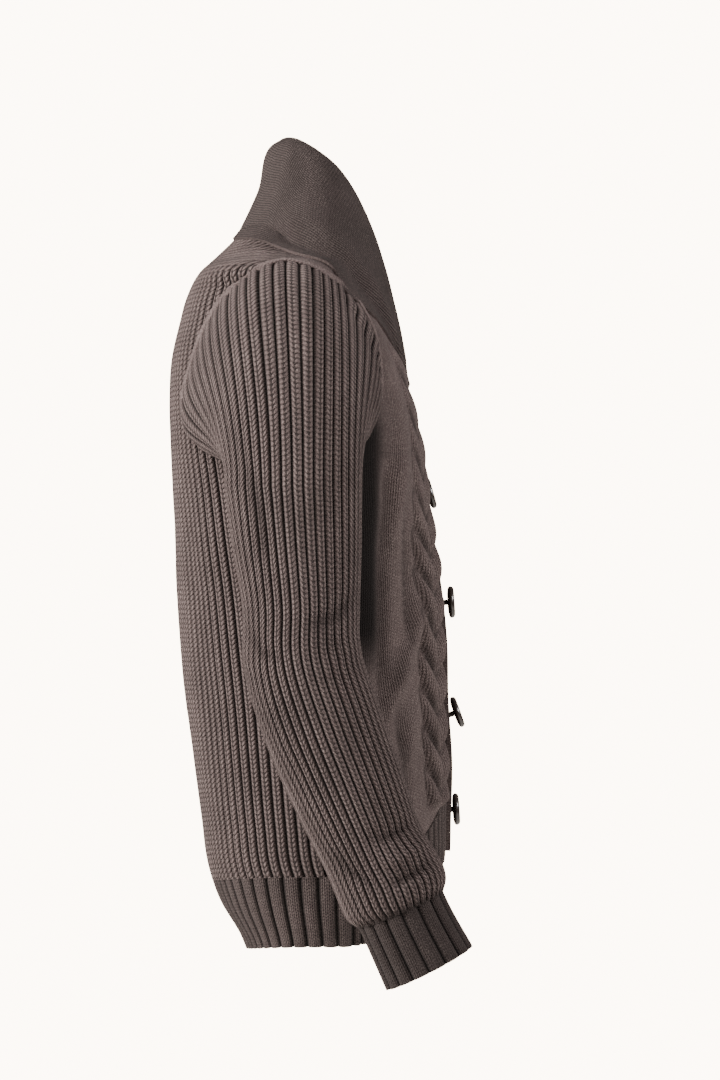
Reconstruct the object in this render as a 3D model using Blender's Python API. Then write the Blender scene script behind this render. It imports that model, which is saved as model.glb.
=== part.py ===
"""Shawl collar cardigan, worn and buttoned: rib back, rib sleeves, plain fronts, ribbed hem and cuffs.

The origin is where the shoulders carry the garment. +Z is up, the front faces -Y, and the
wearer's right side is -X. Every cloth piece is a wall around a middle surface.
"""

import math

import bmesh
import bpy
import numpy as np

# Driving dimensions, in metres.
RIB_WALL = 0.0040
PLAIN_WALL = 0.0030
COLLAR_WALL = 0.0036
SEAM_GAP = 0.0003
CAP_GAP = 0.0006
SHOULDER_TIP_HEIGHT = -0.024
SHOULDER_NECK_HEIGHT = 0.020
UNDERARM_HEIGHT = -0.207
HEM_TOP = -0.604
HEM_BOTTOM = -0.672
HEM_FRONT_RISE = 0.078
HEM_BACK_DROP = 0.016
HEM_RISE_ENDS = -0.330
BACK_NECK_SINK = 0.006
BAND_REACH = 0.022
STAND_POINTS = 5
FALL_POINTS = 4
BAND_LAP = 0.0055
CHEST_DIP_REACH = 0.040
CURL_HEIGHTS = (-0.205, -0.150)
BREAK_EDGE = 0.012
BREAK_HEIGHTS = (-0.163, -0.180, -0.193)
CHEST_HEIGHTS = (-0.250, -0.226, UNDERARM_HEIGHT)
SHOULDER_HEIGHTS = (SHOULDER_TIP_HEIGHT, -0.006, 0.008, SHOULDER_NECK_HEIGHT)
BESIDE_BODY = 0.0056
UNDERARM_SIDE = (-0.165, -0.110)
LEFT_ARM_SWING = 0.024
SWING_FROM = (0.340, 0.640)
SWING_LEAN = 5.0
BUTTON_RADIUS = 0.0160
BUTTON_THICKNESS = 0.0070
SHANK_RADIUS = 0.0022
SHANK_CLEARANCE = 0.0015
BAND_TOP = -0.202
COLLAR_FOLD = (0.006, 0.28)

# Middle surface of the body by height: half width, front and back depth, squareness of the plan,
# and how far the centre front sinks in between the two sides of the chest.
BODY_COLUMNS = ("z", "half_width", "front", "back", "middle", "front_power", "back_power", "dip")
BODY_ROWS = (
    (-0.700, 0.166, -0.116, 0.046, -0.032, 2.2, 2.5, 0.002),
    (-0.672, 0.172, -0.125, 0.057, -0.032, 2.2, 2.5, 0.002),
    (-0.640, 0.183, -0.137, 0.076, -0.030, 2.2, 2.5, 0.003),
    (-0.604, 0.190, -0.1435, 0.088, -0.026, 2.2, 2.6, 0.003),
    (-0.560, 0.190, -0.1445, 0.094, -0.024, 2.2, 2.7, 0.002),
    (-0.506, 0.187, -0.1450, 0.101, -0.021, 2.2, 2.8, 0.001),
    (-0.444, 0.184, -0.1435, 0.108, -0.017, 2.2, 2.9, 0.004),
    (-0.385, 0.184, -0.1430, 0.113, -0.013, 2.2, 3.0, 0.005),
    (-0.340, 0.186, -0.1400, 0.116, -0.010, 2.2, 3.0, 0.007),
    (-0.281, 0.190, -0.1330, 0.119, -0.005, 2.35, 3.1, 0.011),
    (-0.236, 0.193, -0.1275, 0.122, -0.001, 2.6, 3.1, 0.014),
    (-0.190, 0.197, -0.1195, 0.124, 0.003, 2.9, 3.2, 0.012),
    (-0.147, 0.202, -0.1080, 0.125, 0.006, 3.1, 3.2, 0.009),
    (-0.109, 0.207, -0.0960, 0.123, 0.008, 3.1, 3.1, 0.007),
    (-0.073, 0.211, -0.0800, 0.115, 0.009, 2.8, 3.0, 0.005),
    (-0.047, 0.214, -0.0660, 0.108, 0.010, 2.4, 2.8, 0.003),
    (-0.024, 0.214, -0.0520, 0.096, 0.010, 2.1, 2.5, 0.001),
    (-0.015, 0.168, -0.0450, 0.089, 0.010, 2.0, 2.3, 0.000),
    (-0.004, 0.131, -0.0370, 0.079, 0.010, 2.0, 2.1, 0.000),
    (0.008, 0.108, -0.0290, 0.067, 0.010, 2.0, 2.0, 0.000),
    (0.020, 0.093, -0.0200, 0.056, 0.010, 2.0, 2.0, 0.000),
    (0.032, 0.082, -0.0120, 0.048, 0.010, 2.0, 2.0, 0.000),
    (0.060, 0.070, -0.0100, 0.040, 0.010, 2.0, 2.0, 0.000),
)

# Where the body panels end at the side: one side seam below the underarm, the two sides of the
# armhole above it, and the shoulder seam over the shoulder tip.
# Columns: z, y of the front cut, y of the back cut.
SIDE_ROWS = (
    (-0.700, -0.058, -0.058),
    (-0.560, -0.062, -0.062),
    (-0.440, -0.060, -0.060),
    (-0.330, -0.046, -0.046),
    (-0.250, -0.018, -0.018),
    (-0.207, 0.005, 0.005),
    (-0.202, -0.026, 0.040),
    (-0.193, -0.047, 0.072),
    (-0.180, -0.060, 0.094),
    (-0.163, -0.070, 0.105),
    (-0.140, -0.076, 0.104),
    (-0.112, -0.0765, 0.097),
    (-0.085, -0.071, 0.0865),
    (-0.060, -0.058, 0.0715),
    (-0.040, -0.038, 0.050),
    (-0.030, -0.017, 0.033),
    (-0.024, 0.010, 0.010),
    (0.030, 0.010, 0.010),
)
ARMHOLE_HEIGHTS = (-0.202, -0.193, -0.180, -0.163, -0.140, -0.112, -0.085, -0.060, -0.040, -0.030)

# Front edge of each front panel: beside the band, then along the neckline under the collar.
# Columns: z, x.
EDGE_ROWS = (
    (-0.700, 0.0243),
    (-0.190, 0.0243),
    (-0.148, 0.0402),
    (-0.122, 0.0452),
    (-0.094, 0.0515),
    (-0.062, 0.0605),
    (-0.034, 0.0685),
    (-0.012, 0.0775),
    (0.030, 0.0805),
)

# Sleeve sections below the cap. Columns: centre x, y, z, size front to back, size side to side,
# forward lean in degrees.
SLEEVE_ROWS = (
    (0.2540, 0.002, -0.2350, 0.122, 0.103, 0.0),
    (0.2560, -0.0015, -0.2900, 0.114, 0.098, 2.0),
    (0.2590, -0.0055, -0.3450, 0.104, 0.095, 3.0),
    (0.2610, -0.0065, -0.3950, 0.104, 0.093, 10.0),
    (0.2610, -0.0243, -0.4534, 0.105, 0.092, 19.0),
    (0.2580, -0.0480, -0.5140, 0.100, 0.090, 23.0),
    (0.2545, -0.0724, -0.5720, 0.092, 0.086, 24.0),
    (0.2520, -0.0890, -0.6050, 0.092, 0.085, 24.0),
    (0.2510, -0.0960, -0.6240, 0.080, 0.077, 23.0),
)
# The row at the bend of the elbow, where the sleeve solid ends and the forearm solid starts.
ELBOW_ROW = 3
CUFF_ROWS = (
    (0.2510, -0.0966, -0.6254, 0.080, 0.077, 23.0),
    (0.2500, -0.1080, -0.6500, 0.081, 0.077, 26.0),
    (0.2490, -0.1245, -0.6830, 0.085, 0.079, 27.0),
)
# How a rib leaves the armhole: outwards, forwards and downwards, and how far its curve is pulled.
CAP_RINGS = 5
CAP_OUTWARD = (0.70, 0.22)
CAP_FORWARD = 0.10
CAP_DOWNWARD = (0.62, 0.30)
CAP_PULL = 1.1

# Collar sections of one side from the nape to the break. Columns: x, y, z of the neck seam,
# of the roll and of the free edge.
COLLAR_ROWS = (
    (0.000, 0.053, 0.014, 0.000, 0.017, 0.113, 0.000, 0.066, 0.019),
    (0.038, 0.046, 0.015, 0.030, 0.013, 0.1125, 0.058, 0.054, 0.012),
    (0.064, 0.028, 0.019, 0.054, 0.001, 0.108, 0.103, 0.033, 0.004),
    (0.076, 0.006, 0.022, 0.066, -0.018, 0.096, 0.138, 0.008, -0.006),
    (0.076, -0.018, 0.008, 0.066, -0.038, 0.079, 0.160, -0.022, -0.021),
    (0.073, -0.038, -0.012, 0.060, -0.056, 0.053, 0.160, -0.048, -0.041),
    (0.066, -0.055, -0.034, 0.051, -0.071, 0.020, 0.135, -0.069, -0.055),
    (0.058, -0.069, -0.062, 0.040, -0.082, -0.014, 0.100, -0.085, -0.073),
    (0.049, -0.083, -0.094, 0.030, -0.090, -0.052, 0.064, -0.096, -0.093),
    (0.042, -0.092, -0.122, 0.021, -0.0975, -0.092, 0.034, -0.104, -0.112),
    (0.036, -0.098, -0.148, 0.014, -0.1050, -0.126, 0.016, -0.110, -0.132),
)

# Columns: z, y, how far the face leans up in degrees.
BUTTON_ROWS = (
    (-0.238, -0.1300, 16.0),
    (-0.347, -0.1510, 4.0),
    (-0.457, -0.1570, 20.0),
    (-0.554, -0.1560, 4.0),
)

# Section of a button from its face to its back: share of the radius, share of the thickness.
BUTTON_PROFILE = (
    (0.00, 0.50),
    (0.55, 0.42),
    (0.86, 0.20),
    (1.00, -0.05),
    (0.90, -0.36),
    (0.55, -0.50),
    (0.00, -0.50),
)

# How finely each piece is cut into faces.
OUTLINE_STEPS = 120
PANEL_COLUMNS = 9
PANEL_ROWS = 9
HEM_ROWS = 4
COLLAR_STATIONS = 18
BAND_ROWS = 9
BUTTON_SIDES = 16
SHANK_SIDES = 8
SHARP_ANGLE = 40.0
SLOPE_STEP = 0.0005
LIFT_TRIES = 4

CHARCOAL_BROWN = (0.075, 0.055, 0.047, 1.0)
RIB_BROWN = (0.068, 0.050, 0.043, 1.0)
HORN = (0.020, 0.013, 0.010, 1.0)
THREAD = (0.045, 0.034, 0.030, 1.0)


def clear_scene():
    for obj in list(bpy.data.objects):
        bpy.data.objects.remove(obj)


def make_material(name, colour, roughness):
    material = bpy.data.materials.new(name)
    material.use_nodes = True
    shader = material.node_tree.nodes["Principled BSDF"]
    shader.inputs["Base Color"].default_value = colour
    shader.inputs["Roughness"].default_value = roughness
    shader.inputs["Metallic"].default_value = 0.0
    material.diffuse_color = colour
    return material


def smooth_step(value, start, end):
    share = min(max((value - start) / (end - start), 0.0), 1.0)
    return share * share * (3.0 - 2.0 * share)


def smooth_table(rows, where):
    """Reads a table at a value of its first column, with a smooth curve through its rows."""
    table = np.asarray(rows, float)
    keys = table[:, 0]
    where = min(max(where, keys[0]), keys[-1])
    low = int(min(max(np.searchsorted(keys, where) - 1, 0), len(keys) - 2))
    slopes = np.gradient(table, keys, axis=0)
    span = keys[low + 1] - keys[low]
    t = (where - keys[low]) / span
    start, end = table[low], table[low + 1]
    return (
        (2 * t**3 - 3 * t**2 + 1) * start
        + (t**3 - 2 * t**2 + t) * span * slopes[low]
        + (3 * t**2 - 2 * t**3) * end
        + (t**3 - t**2) * span * slopes[low + 1]
    )


def straight_table(rows, where):
    table = np.asarray(rows, float)
    return np.array([np.interp(where, table[:, 0], table[:, k]) for k in range(table.shape[1])])


def body_section(height):
    return dict(zip(BODY_COLUMNS, smooth_table(BODY_ROWS, height)))


def centre_dip(x, section):
    return section["dip"] * math.exp(-((x / CHEST_DIP_REACH) ** 2))


def body_value(point):
    """1 on the body's middle surface, more outside it."""
    section = body_section(point[2])
    y = point[1] - section["middle"]
    if y >= 0:
        depth = section["back"] - section["middle"]
        power = section["back_power"]
    else:
        depth = section["middle"] - section["front"]
        power = section["front_power"]
        y -= centre_dip(point[0], section)
    return ((abs(point[0]) / section["half_width"]) ** power + (abs(y) / depth) ** power) ** (1 / power)


def body_gradient(point):
    steps = SLOPE_STEP * np.eye(3)
    changes = [body_value(point + step) - body_value(point - step) for step in steps]
    return np.array(changes) / (2 * SLOPE_STEP)


def body_normal(point):
    gradient = body_gradient(point)
    return gradient / np.linalg.norm(gradient)


def lift_off_body(point, clearance):
    """Moves a point out until it is at least this far from the body's middle surface."""
    point = np.array(point, float)
    for _ in range(LIFT_TRIES):
        gradient = body_gradient(point)
        size = np.linalg.norm(gradient)
        distance = (body_value(point) - 1.0) / size
        if distance >= clearance:
            break
        point = point + gradient / size * (clearance - distance)
    return point


def row_height(level, across, is_front):
    """Height of a body row: it rises to the front hem, drops to the back hem and sinks at the nape."""
    hem_share = 1.0 - smooth_step(level, HEM_TOP, HEM_RISE_ENDS)
    inward = math.cos(0.5 * math.pi * min(across, 1.0))
    if is_front:
        return level + HEM_FRONT_RISE * hem_share * inward**1.3
    sink = BACK_NECK_SINK * smooth_step(level, SHOULDER_TIP_HEIGHT, SHOULDER_NECK_HEIGHT)
    return level - HEM_BACK_DROP * hem_share * inward - sink * inward


def half_ring(level):
    """Right half of the body at one level, from the centre back round the side to the centre front."""
    points = []
    flat = body_section(level)
    for is_front in (False, True):
        angles = np.linspace(0.0, 0.5 * math.pi, OUTLINE_STEPS)
        if is_front:
            angles = angles[::-1][1:]
        for angle in angles:
            power = flat["front_power" if is_front else "back_power"]
            across = max(math.sin(angle), 0.0) ** (2 / power)
            inward = max(math.cos(angle), 0.0) ** (2 / power)
            height = row_height(level, across, is_front)
            section = body_section(height)
            x = section["half_width"] * across
            if is_front:
                y = section["middle"] - (section["middle"] - section["front"]) * inward
                y += centre_dip(x, section) * inward
            else:
                y = section["middle"] + (section["back"] - section["middle"]) * inward
            points.append((-x, y, height))
    return np.array(points)


def lengths_along(points):
    steps = np.linalg.norm(np.diff(points, axis=0), axis=1)
    return np.concatenate([[0.0], np.cumsum(steps)])


def stretch_between(points, start, end, count):
    """Evenly spaced points of a line between two distances along it."""
    along = lengths_along(points)
    wanted = np.linspace(start, end, count)
    return np.column_stack([np.interp(wanted, along, points[:, k]) for k in range(3)])


def point_at(points, distance):
    return stretch_between(points, distance, distance, 1)[0]


def place_where(points, passed):
    """Distance along a line at which the amount that passed() gives rises to zero."""
    along = lengths_along(points)
    for index, point in enumerate(points):
        amount = passed(point)
        if amount >= 0:
            before = passed(points[index - 1])
            share = -before / (amount - before)
            return along[index - 1] + share * (along[index] - along[index - 1])
    return along[-1]


def side_cut(points, column):
    """Distance along a half ring of the front cut (column 1) or the back cut (column 2)."""
    return place_where(points, lambda point: straight_table(SIDE_ROWS, point[2])[column] - point[1])


def front_edge(points):
    """Distance along a half ring of the panel's front edge."""

    def past_edge(point):
        if point[1] > body_section(point[2])["middle"]:
            return -1.0
        return straight_table(EDGE_ROWS, point[2])[1] + point[0]

    return place_where(points, past_edge)


def back_row(level):
    points = half_ring(level)
    cut = side_cut(points, 2) - 0.5 * SEAM_GAP
    half = stretch_between(points, 0.0, cut, PANEL_COLUMNS + 1)
    mirrored = half[1:] * np.array([-1.0, 1.0, 1.0])
    return np.concatenate([half[::-1], mirrored])


def front_row(level):
    points = half_ring(level)
    cut = side_cut(points, 1) + 0.5 * SEAM_GAP
    return stretch_between(points, cut, front_edge(points), PANEL_COLUMNS + 1)


def mirror_rows(rows):
    return [row[::-1] * np.array([-1.0, 1.0, 1.0]) for row in rows]


def wall_object(name, rows, normals, thickness, material, closed=False):
    """A wall around a grid of middle points: two skins and the rim that joins them."""
    grid = np.array(rows)
    normals = np.array(normals)
    row_count, column_count = grid.shape[:2]
    outer = (grid + normals * thickness / 2).reshape(-1, 3)
    inner = (grid - normals * thickness / 2).reshape(-1, 3)
    skin = row_count * column_count
    faces = []
    last = column_count if closed else column_count - 1
    for r in range(row_count - 1):
        for c in range(last):
            a = r * column_count + c
            b = r * column_count + (c + 1) % column_count
            quad = (a, b, b + column_count, a + column_count)
            faces.append(quad)
            faces.append(tuple(skin + k for k in reversed(quad)))
    top = (row_count - 1) * column_count
    for c in range(last):
        b = (c + 1) % column_count
        faces.append((b, c, skin + c, skin + b))
        faces.append((top + c, top + b, skin + top + b, skin + top + c))
    if not closed:
        for r in range(row_count - 1):
            a, b = r * column_count, (r + 1) * column_count
            faces.append((a, b, skin + b, skin + a))
            a, b = a + column_count - 1, b + column_count - 1
            faces.append((b, a, skin + a, skin + b))
    mesh_object(name, np.concatenate([outer, inner]), faces, material)


def mesh_object(name, points, faces, material):
    mesh = bpy.data.meshes.new(name)
    mesh.from_pydata([tuple(p) for p in points], [], faces)
    work = bmesh.new()
    work.from_mesh(mesh)
    bmesh.ops.recalc_face_normals(work, faces=work.faces)
    bmesh.ops.triangulate(work, faces=work.faces, quad_method="SHORT_EDGE")
    work.to_mesh(mesh)
    work.free()
    mesh.materials.append(material)
    mesh.shade_smooth()
    mesh.set_sharp_from_angle(angle=math.radians(SHARP_ANGLE))
    obj = bpy.data.objects.new(name, mesh)
    bpy.context.scene.collection.objects.link(obj)


def grid_normals(rows, closed):
    """Unit normals of a grid, from its neighbours along and across."""
    grid = np.array(rows)
    if closed:
        across = np.roll(grid, -1, axis=1) - np.roll(grid, 1, axis=1)
    else:
        across = np.gradient(grid, axis=1)
    along = np.gradient(grid, axis=0)
    normals = np.cross(along, across)
    return normals / np.linalg.norm(normals, axis=2, keepdims=True)


def body_normals(rows):
    return [[body_normal(point) for point in row] for row in rows]


def body_levels():
    below = np.linspace(HEM_TOP + SEAM_GAP / 2, CHEST_HEIGHTS[0], PANEL_ROWS)
    return [*below, *CHEST_HEIGHTS[1:], *ARMHOLE_HEIGHTS, *SHOULDER_HEIGHTS]


def hem_levels():
    return np.linspace(HEM_BOTTOM, HEM_TOP - SEAM_GAP / 2, HEM_ROWS)


def make_body(rib_cloth, plain_cloth, hem_cloth):
    back = [back_row(level) for level in body_levels()]
    wall_object("back", back, body_normals(back), RIB_WALL, rib_cloth)
    front = [front_row(level) for level in body_levels()]
    wall_object("front_right", front, body_normals(front), PLAIN_WALL, plain_cloth)
    front_left = mirror_rows(front)
    wall_object("front_left", front_left, body_normals(front_left), PLAIN_WALL, plain_cloth)
    hem_back = [back_row(level) for level in hem_levels()]
    wall_object("hem_back", hem_back, body_normals(hem_back), RIB_WALL, hem_cloth)
    hem_front = [front_row(level) for level in hem_levels()]
    wall_object("hem_front_right", hem_front, body_normals(hem_front), RIB_WALL, hem_cloth)
    hem_left = mirror_rows(hem_front)
    wall_object("hem_front_left", hem_left, body_normals(hem_left), RIB_WALL, hem_cloth)


def edge_point(level, column):
    points = half_ring(level)
    return point_at(points, side_cut(points, column))


def armhole_loop():
    """Edge of the right armhole: from the shoulder tip down the front, and up the back."""
    tip = edge_point(SHOULDER_TIP_HEIGHT, 1)
    front = [edge_point(level, 1) for level in ARMHOLE_HEIGHTS[::-1]]
    under = edge_point(UNDERARM_HEIGHT, 1)
    back = [edge_point(level, 2) for level in ARMHOLE_HEIGHTS]
    return np.array([tip, *front, under, *back])


def loop_angles(loop):
    closed = np.concatenate([loop, loop[:1]])
    along = lengths_along(closed)
    return 2 * math.pi * along[:-1] / along[-1]


def tube_ring(row, angles):
    """One section of a sleeve or cuff: angle 0 is the outer side, a quarter turn on is the front."""
    x, y, z, depth, breadth, lean = row
    lean = math.radians(lean)
    forward = np.array([0.0, -math.cos(lean), math.sin(lean)])
    outward = np.array([-1.0, 0.0, 0.0])
    centre = np.array([-x, y, z])
    return np.array(
        [
            centre + outward * math.cos(a) * breadth / 2 + forward * math.sin(a) * depth / 2
            for a in angles
        ]
    )


def swung(row, swing):
    """A sleeve row moved back below the elbow, for the arm that hangs straighter."""
    x, y, z, depth, breadth, lean = row
    share = smooth_step(-z, *SWING_FROM)
    return (x, y + swing * share, z, depth, breadth, lean - SWING_LEAN * share * (swing > 0))


def cap_start(loop):
    """First ring of the sleeve: inside the armhole, and beside the body's wall under the arm."""
    start = []
    tangents = np.roll(loop, -1, axis=0) - np.roll(loop, 1, axis=0)
    for point, tangent in zip(loop, tangents):
        normal = body_normal(point)
        inward = np.cross(tangent, normal)
        inward = inward / np.linalg.norm(inward)
        under = 1.0 - smooth_step(point[2], *UNDERARM_SIDE)
        start.append(point + inward * CAP_GAP + normal * under * BESIDE_BODY)
    return np.array(start)


def cap_rib(start, end, angle, share):
    """Point of a smooth curve from the armhole to the first full section of the sleeve."""
    pull = np.linalg.norm(end - start) * CAP_PULL
    outward = CAP_OUTWARD[0] + CAP_OUTWARD[1] * math.cos(angle)
    downward = CAP_DOWNWARD[0] - CAP_DOWNWARD[1] * math.cos(angle)
    leave = np.array([-outward, -CAP_FORWARD * math.sin(angle), -downward])
    leave = leave / np.linalg.norm(leave) * pull
    arrive = np.array([0.0, 0.0, -pull])
    return (
        (2 * share**3 - 3 * share**2 + 1) * start
        + (share**3 - 2 * share**2 + share) * leave
        + (3 * share**2 - 2 * share**3) * end
        + (share**3 - share**2) * arrive
    )


def sleeve_cap(loop, angles, first_ring):
    """Rings from the armhole to the first full section."""
    start = cap_start(loop)
    rings = [start]
    for share in np.linspace(0.0, 1.0, CAP_RINGS + 1)[1:-1]:
        ring = [cap_rib(a, b, angle, share) for a, b, angle in zip(start, first_ring, angles)]
        rings.append([lift_off_body(point, BESIDE_BODY) for point in ring])
    return rings


def make_sleeve(side, rib_cloth, hem_cloth):
    loop = armhole_loop()
    angles = loop_angles(loop)
    first_ring = tube_ring(SLEEVE_ROWS[0], angles)
    rings = sleeve_cap(loop, angles, first_ring)
    swing = 0.0 if side == "right" else LEFT_ARM_SWING
    rings += [tube_ring(swung(row, swing), angles) for row in SLEEVE_ROWS]
    cuff = [tube_ring(swung(row, swing), angles) for row in CUFF_ROWS]
    sign = np.array([1.0 if side == "right" else -1.0, 1.0, 1.0])
    sleeve = np.array(rings) * sign
    normals = grid_normals(sleeve, closed=True)
    start = np.array([body_normal(point * sign) for point in loop])
    normals[0] = start * np.sign(np.sum(start * normals[0], axis=1, keepdims=True))
    bend = len(rings) - len(SLEEVE_ROWS) + ELBOW_ROW
    wall_object("sleeve_" + side, sleeve[: bend + 1], normals[: bend + 1], RIB_WALL, rib_cloth, closed=True)
    forearm = sleeve[bend:].copy()
    onward = forearm[1].mean(axis=0) - forearm[0].mean(axis=0)
    forearm[0] += onward / np.linalg.norm(onward) * SEAM_GAP
    wall_object("forearm_" + side, forearm, normals[bend:], RIB_WALL, rib_cloth, closed=True)
    cuff = np.array(cuff) * sign
    wall_object("cuff_" + side, cuff, grid_normals(cuff, closed=True), RIB_WALL, hem_cloth, closed=True)


def collar_section(row, side):
    """Points across the strip: up the stand, over the roll and down the fall, clear of the body."""
    seam = np.array(row[0:3]) * (side, 1, 1)
    roll = np.array(row[3:6]) * (side, 1, 1)
    free = np.array(row[6:9]) * (side, 1, 1)
    rise = roll - seam
    fall = free - roll
    away = fall - rise * np.dot(fall, rise) / np.dot(rise, rise)
    away = away / np.linalg.norm(away)
    fold = min(COLLAR_FOLD[0], COLLAR_FOLD[1] * np.linalg.norm(fall))
    controls = [
        seam,
        seam + 0.50 * rise - away * 0.90 * fold,
        seam + 0.88 * rise - away * 0.50 * fold,
        roll,
        roll + away * fold - rise / np.linalg.norm(rise) * fold * 0.9,
        roll + 0.50 * fall,
        free,
    ]
    table = np.column_stack([lengths_along(np.array(controls)), np.array(controls)])
    to_roll = table[3, 0]
    steps = np.concatenate(
        [
            np.linspace(0.0, to_roll, STAND_POINTS),
            np.linspace(to_roll, table[-1, 0], FALL_POINTS + 1)[1:],
        ]
    )
    points = [smooth_table(table, step)[1:] for step in steps]
    for k in range(STAND_POINTS, STAND_POINTS + FALL_POINTS):
        past_roll = (k + 1 - STAND_POINTS) / FALL_POINTS
        if points[k][2] < SHOULDER_NECK_HEIGHT:
            points[k] = lift_off_body(points[k], BESIDE_BODY * smooth_step(past_roll, 0.0, 0.5))
    return np.array(points)


def band_row(height, side, lap, free_x):
    """A flat stretch of front band, from its seam to its free edge past the centre."""
    seam_x = straight_table(EDGE_ROWS, height)[1] - SEAM_GAP
    section = body_section(height)
    power = section["front_power"]
    points = []
    for x in np.linspace(seam_x, free_x, STAND_POINTS + FALL_POINTS):
        inward = (1 - (abs(x) / section["half_width"]) ** power) ** (1 / power)
        y = section["middle"] - (section["middle"] - section["front"]) * inward
        y += centre_dip(x, section)
        points.append((side * x, y - lap, height))
    return np.array(points)


def collar_half(side, lap, free_x):
    """Rows of one side of the strip, from the nape down to the bottom of its band."""
    table = np.array(COLLAR_ROWS)
    keyed = np.column_stack([np.arange(len(table)), table])
    stations = np.linspace(0, len(table) - 1, COLLAR_STATIONS)
    rows = [collar_section(smooth_table(keyed, station)[1:], side) for station in stations]
    bottom = row_height(HEM_BOTTOM, 0.0, True)
    for height in (*BREAK_HEIGHTS, *np.linspace(BAND_TOP, bottom, BAND_ROWS)):
        curl = smooth_step(height, *CURL_HEIGHTS)
        rows.append(band_row(height, side, lap, free_x + (BREAK_EDGE - free_x) * curl))
    return rows


def make_collar(cloth):
    right = collar_half(-1, 0.0, -BAND_REACH)
    left = collar_half(1, BAND_LAP, -BAND_REACH)
    rows = right[::-1] + left[1:]
    normals = grid_normals(rows, closed=False)
    wall_object("shawl_collar", rows, normals, COLLAR_WALL, cloth)


def make_buttons(horn, thread):
    profile = [(BUTTON_RADIUS * r, BUTTON_THICKNESS * h) for r, h in BUTTON_PROFILE]
    forward = np.array([0.0, -1.0, 0.0])
    up = np.array([0.0, 0.0, 1.0])
    for index, (z, y, lean) in enumerate(BUTTON_ROWS, start=1):
        turn = math.radians(lean)
        outward = np.array([0.0, -math.cos(turn), math.sin(turn)])
        upward = np.array([0.0, math.sin(turn), math.cos(turn)])
        centre = np.array([0.0, y, z])
        turned_object(f"button_{index}", profile, centre, outward, upward, BUTTON_SIDES, horn)
        behind = BUTTON_THICKNESS / 2 + SEAM_GAP + SHANK_RADIUS * math.sin(turn)
        back = centre - outward * behind
        section = body_section(z)
        band_face = section["front"] + section["dip"] - BAND_LAP - COLLAR_WALL / 2
        length = band_face - SHANK_CLEARANCE - back[1]
        shank = [(0.0, 0.0), (SHANK_RADIUS, 0.0), (SHANK_RADIUS, -length), (0.0, -length)]
        turned_object(f"shank_{index}", shank, back, forward, up, SHANK_SIDES, thread)


def turned_object(name, profile, centre, axis, upward, sides, material):
    """A solid turned round an axis, from a profile of radius and height that starts and ends on it."""
    across = np.cross(upward, axis)
    points = [centre + axis * profile[0][1], centre + axis * profile[-1][1]]
    rings = profile[1:-1]
    for radius, height in rings:
        for k in range(sides):
            angle = 2 * math.pi * k / sides
            around = across * math.cos(angle) + upward * math.sin(angle)
            points.append(centre + axis * height + around * radius)
    faces = []
    for k in range(sides):
        following = (k + 1) % sides
        faces.append((0, 2 + k, 2 + following))
        last = 2 + (len(rings) - 1) * sides
        faces.append((1, last + following, last + k))
        for r in range(len(rings) - 1):
            a = 2 + r * sides
            b = a + sides
            faces.append((a + k, b + k, b + following, a + following))
    mesh_object(name, points, faces, material)


def main():
    clear_scene()
    rib_cloth = make_material("chunky_rib", RIB_BROWN, 0.95)
    plain_cloth = make_material("plain_knit", CHARCOAL_BROWN, 0.95)
    hem_cloth = make_material("wide_rib", RIB_BROWN, 0.95)
    collar_cloth = make_material("fine_rib", CHARCOAL_BROWN, 0.95)
    horn = make_material("horn", HORN, 0.25)
    thread = make_material("thread", THREAD, 0.8)
    make_body(rib_cloth, plain_cloth, hem_cloth)
    for side in ("right", "left"):
        make_sleeve(side, rib_cloth, hem_cloth)
    make_collar(collar_cloth)
    make_buttons(horn, thread)


main()
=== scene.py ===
"""Shawl collar cardigan: its knitted cloth, its seams and its buttons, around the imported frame."""

import math

import bmesh
import bpy
import numpy as np
from bpy.props import FloatProperty, FloatVectorProperty, IntProperty, PointerProperty
from mathutils import Matrix, Vector


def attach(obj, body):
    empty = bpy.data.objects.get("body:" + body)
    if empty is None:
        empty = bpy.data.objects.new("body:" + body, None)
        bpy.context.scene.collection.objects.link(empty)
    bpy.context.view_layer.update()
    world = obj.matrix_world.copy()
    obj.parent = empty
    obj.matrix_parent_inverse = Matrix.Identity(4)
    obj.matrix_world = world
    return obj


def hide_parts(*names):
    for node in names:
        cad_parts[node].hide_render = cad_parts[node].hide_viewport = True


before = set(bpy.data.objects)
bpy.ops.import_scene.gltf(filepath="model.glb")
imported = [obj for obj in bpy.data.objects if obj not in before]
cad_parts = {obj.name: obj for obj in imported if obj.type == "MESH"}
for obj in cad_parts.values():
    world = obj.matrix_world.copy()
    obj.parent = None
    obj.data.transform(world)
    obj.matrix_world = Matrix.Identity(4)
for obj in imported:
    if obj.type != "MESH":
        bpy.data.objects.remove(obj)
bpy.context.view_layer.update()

bl_info = {
    "name": "Shawl Collar Cardigan",
    "version": (1, 0, 0),
    "blender": (4, 5, 0),
    "location": "View3D > Sidebar > Cardigan",
    "description": "Builds a ribbed shawl collar cardigan around its frame",
    "category": "Add Mesh",
}

# ---------------------------------------------------------------------------------------------
# Form of the garment, in metres, the same as the frame's solids.

# Wall thicknesses of the thick rib, the plain fronts, the collar, the band and the collar's free edge.
RIB_WALL = 0.0036
PLAIN_WALL = 0.0030
COLLAR_WALL = 0.0040
BAND_WALL = 0.0051
FALL_EDGE_WALL = 0.0026
# How far the collar's fall lies off the body's middle surface, at the back and on the fronts.
FALL_CLEARANCE = 0.0040
FALL_ON_FRONT = 0.0031
# The shares of the fall over which it gets clear of the body and then comes to lie on it, and where the
# back begins.
FALL_CLEARS = (0.0, 0.5)
FALL_LIES = (0.62, 0.92)
FALL_BEHIND = (0.0, 0.02)
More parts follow.
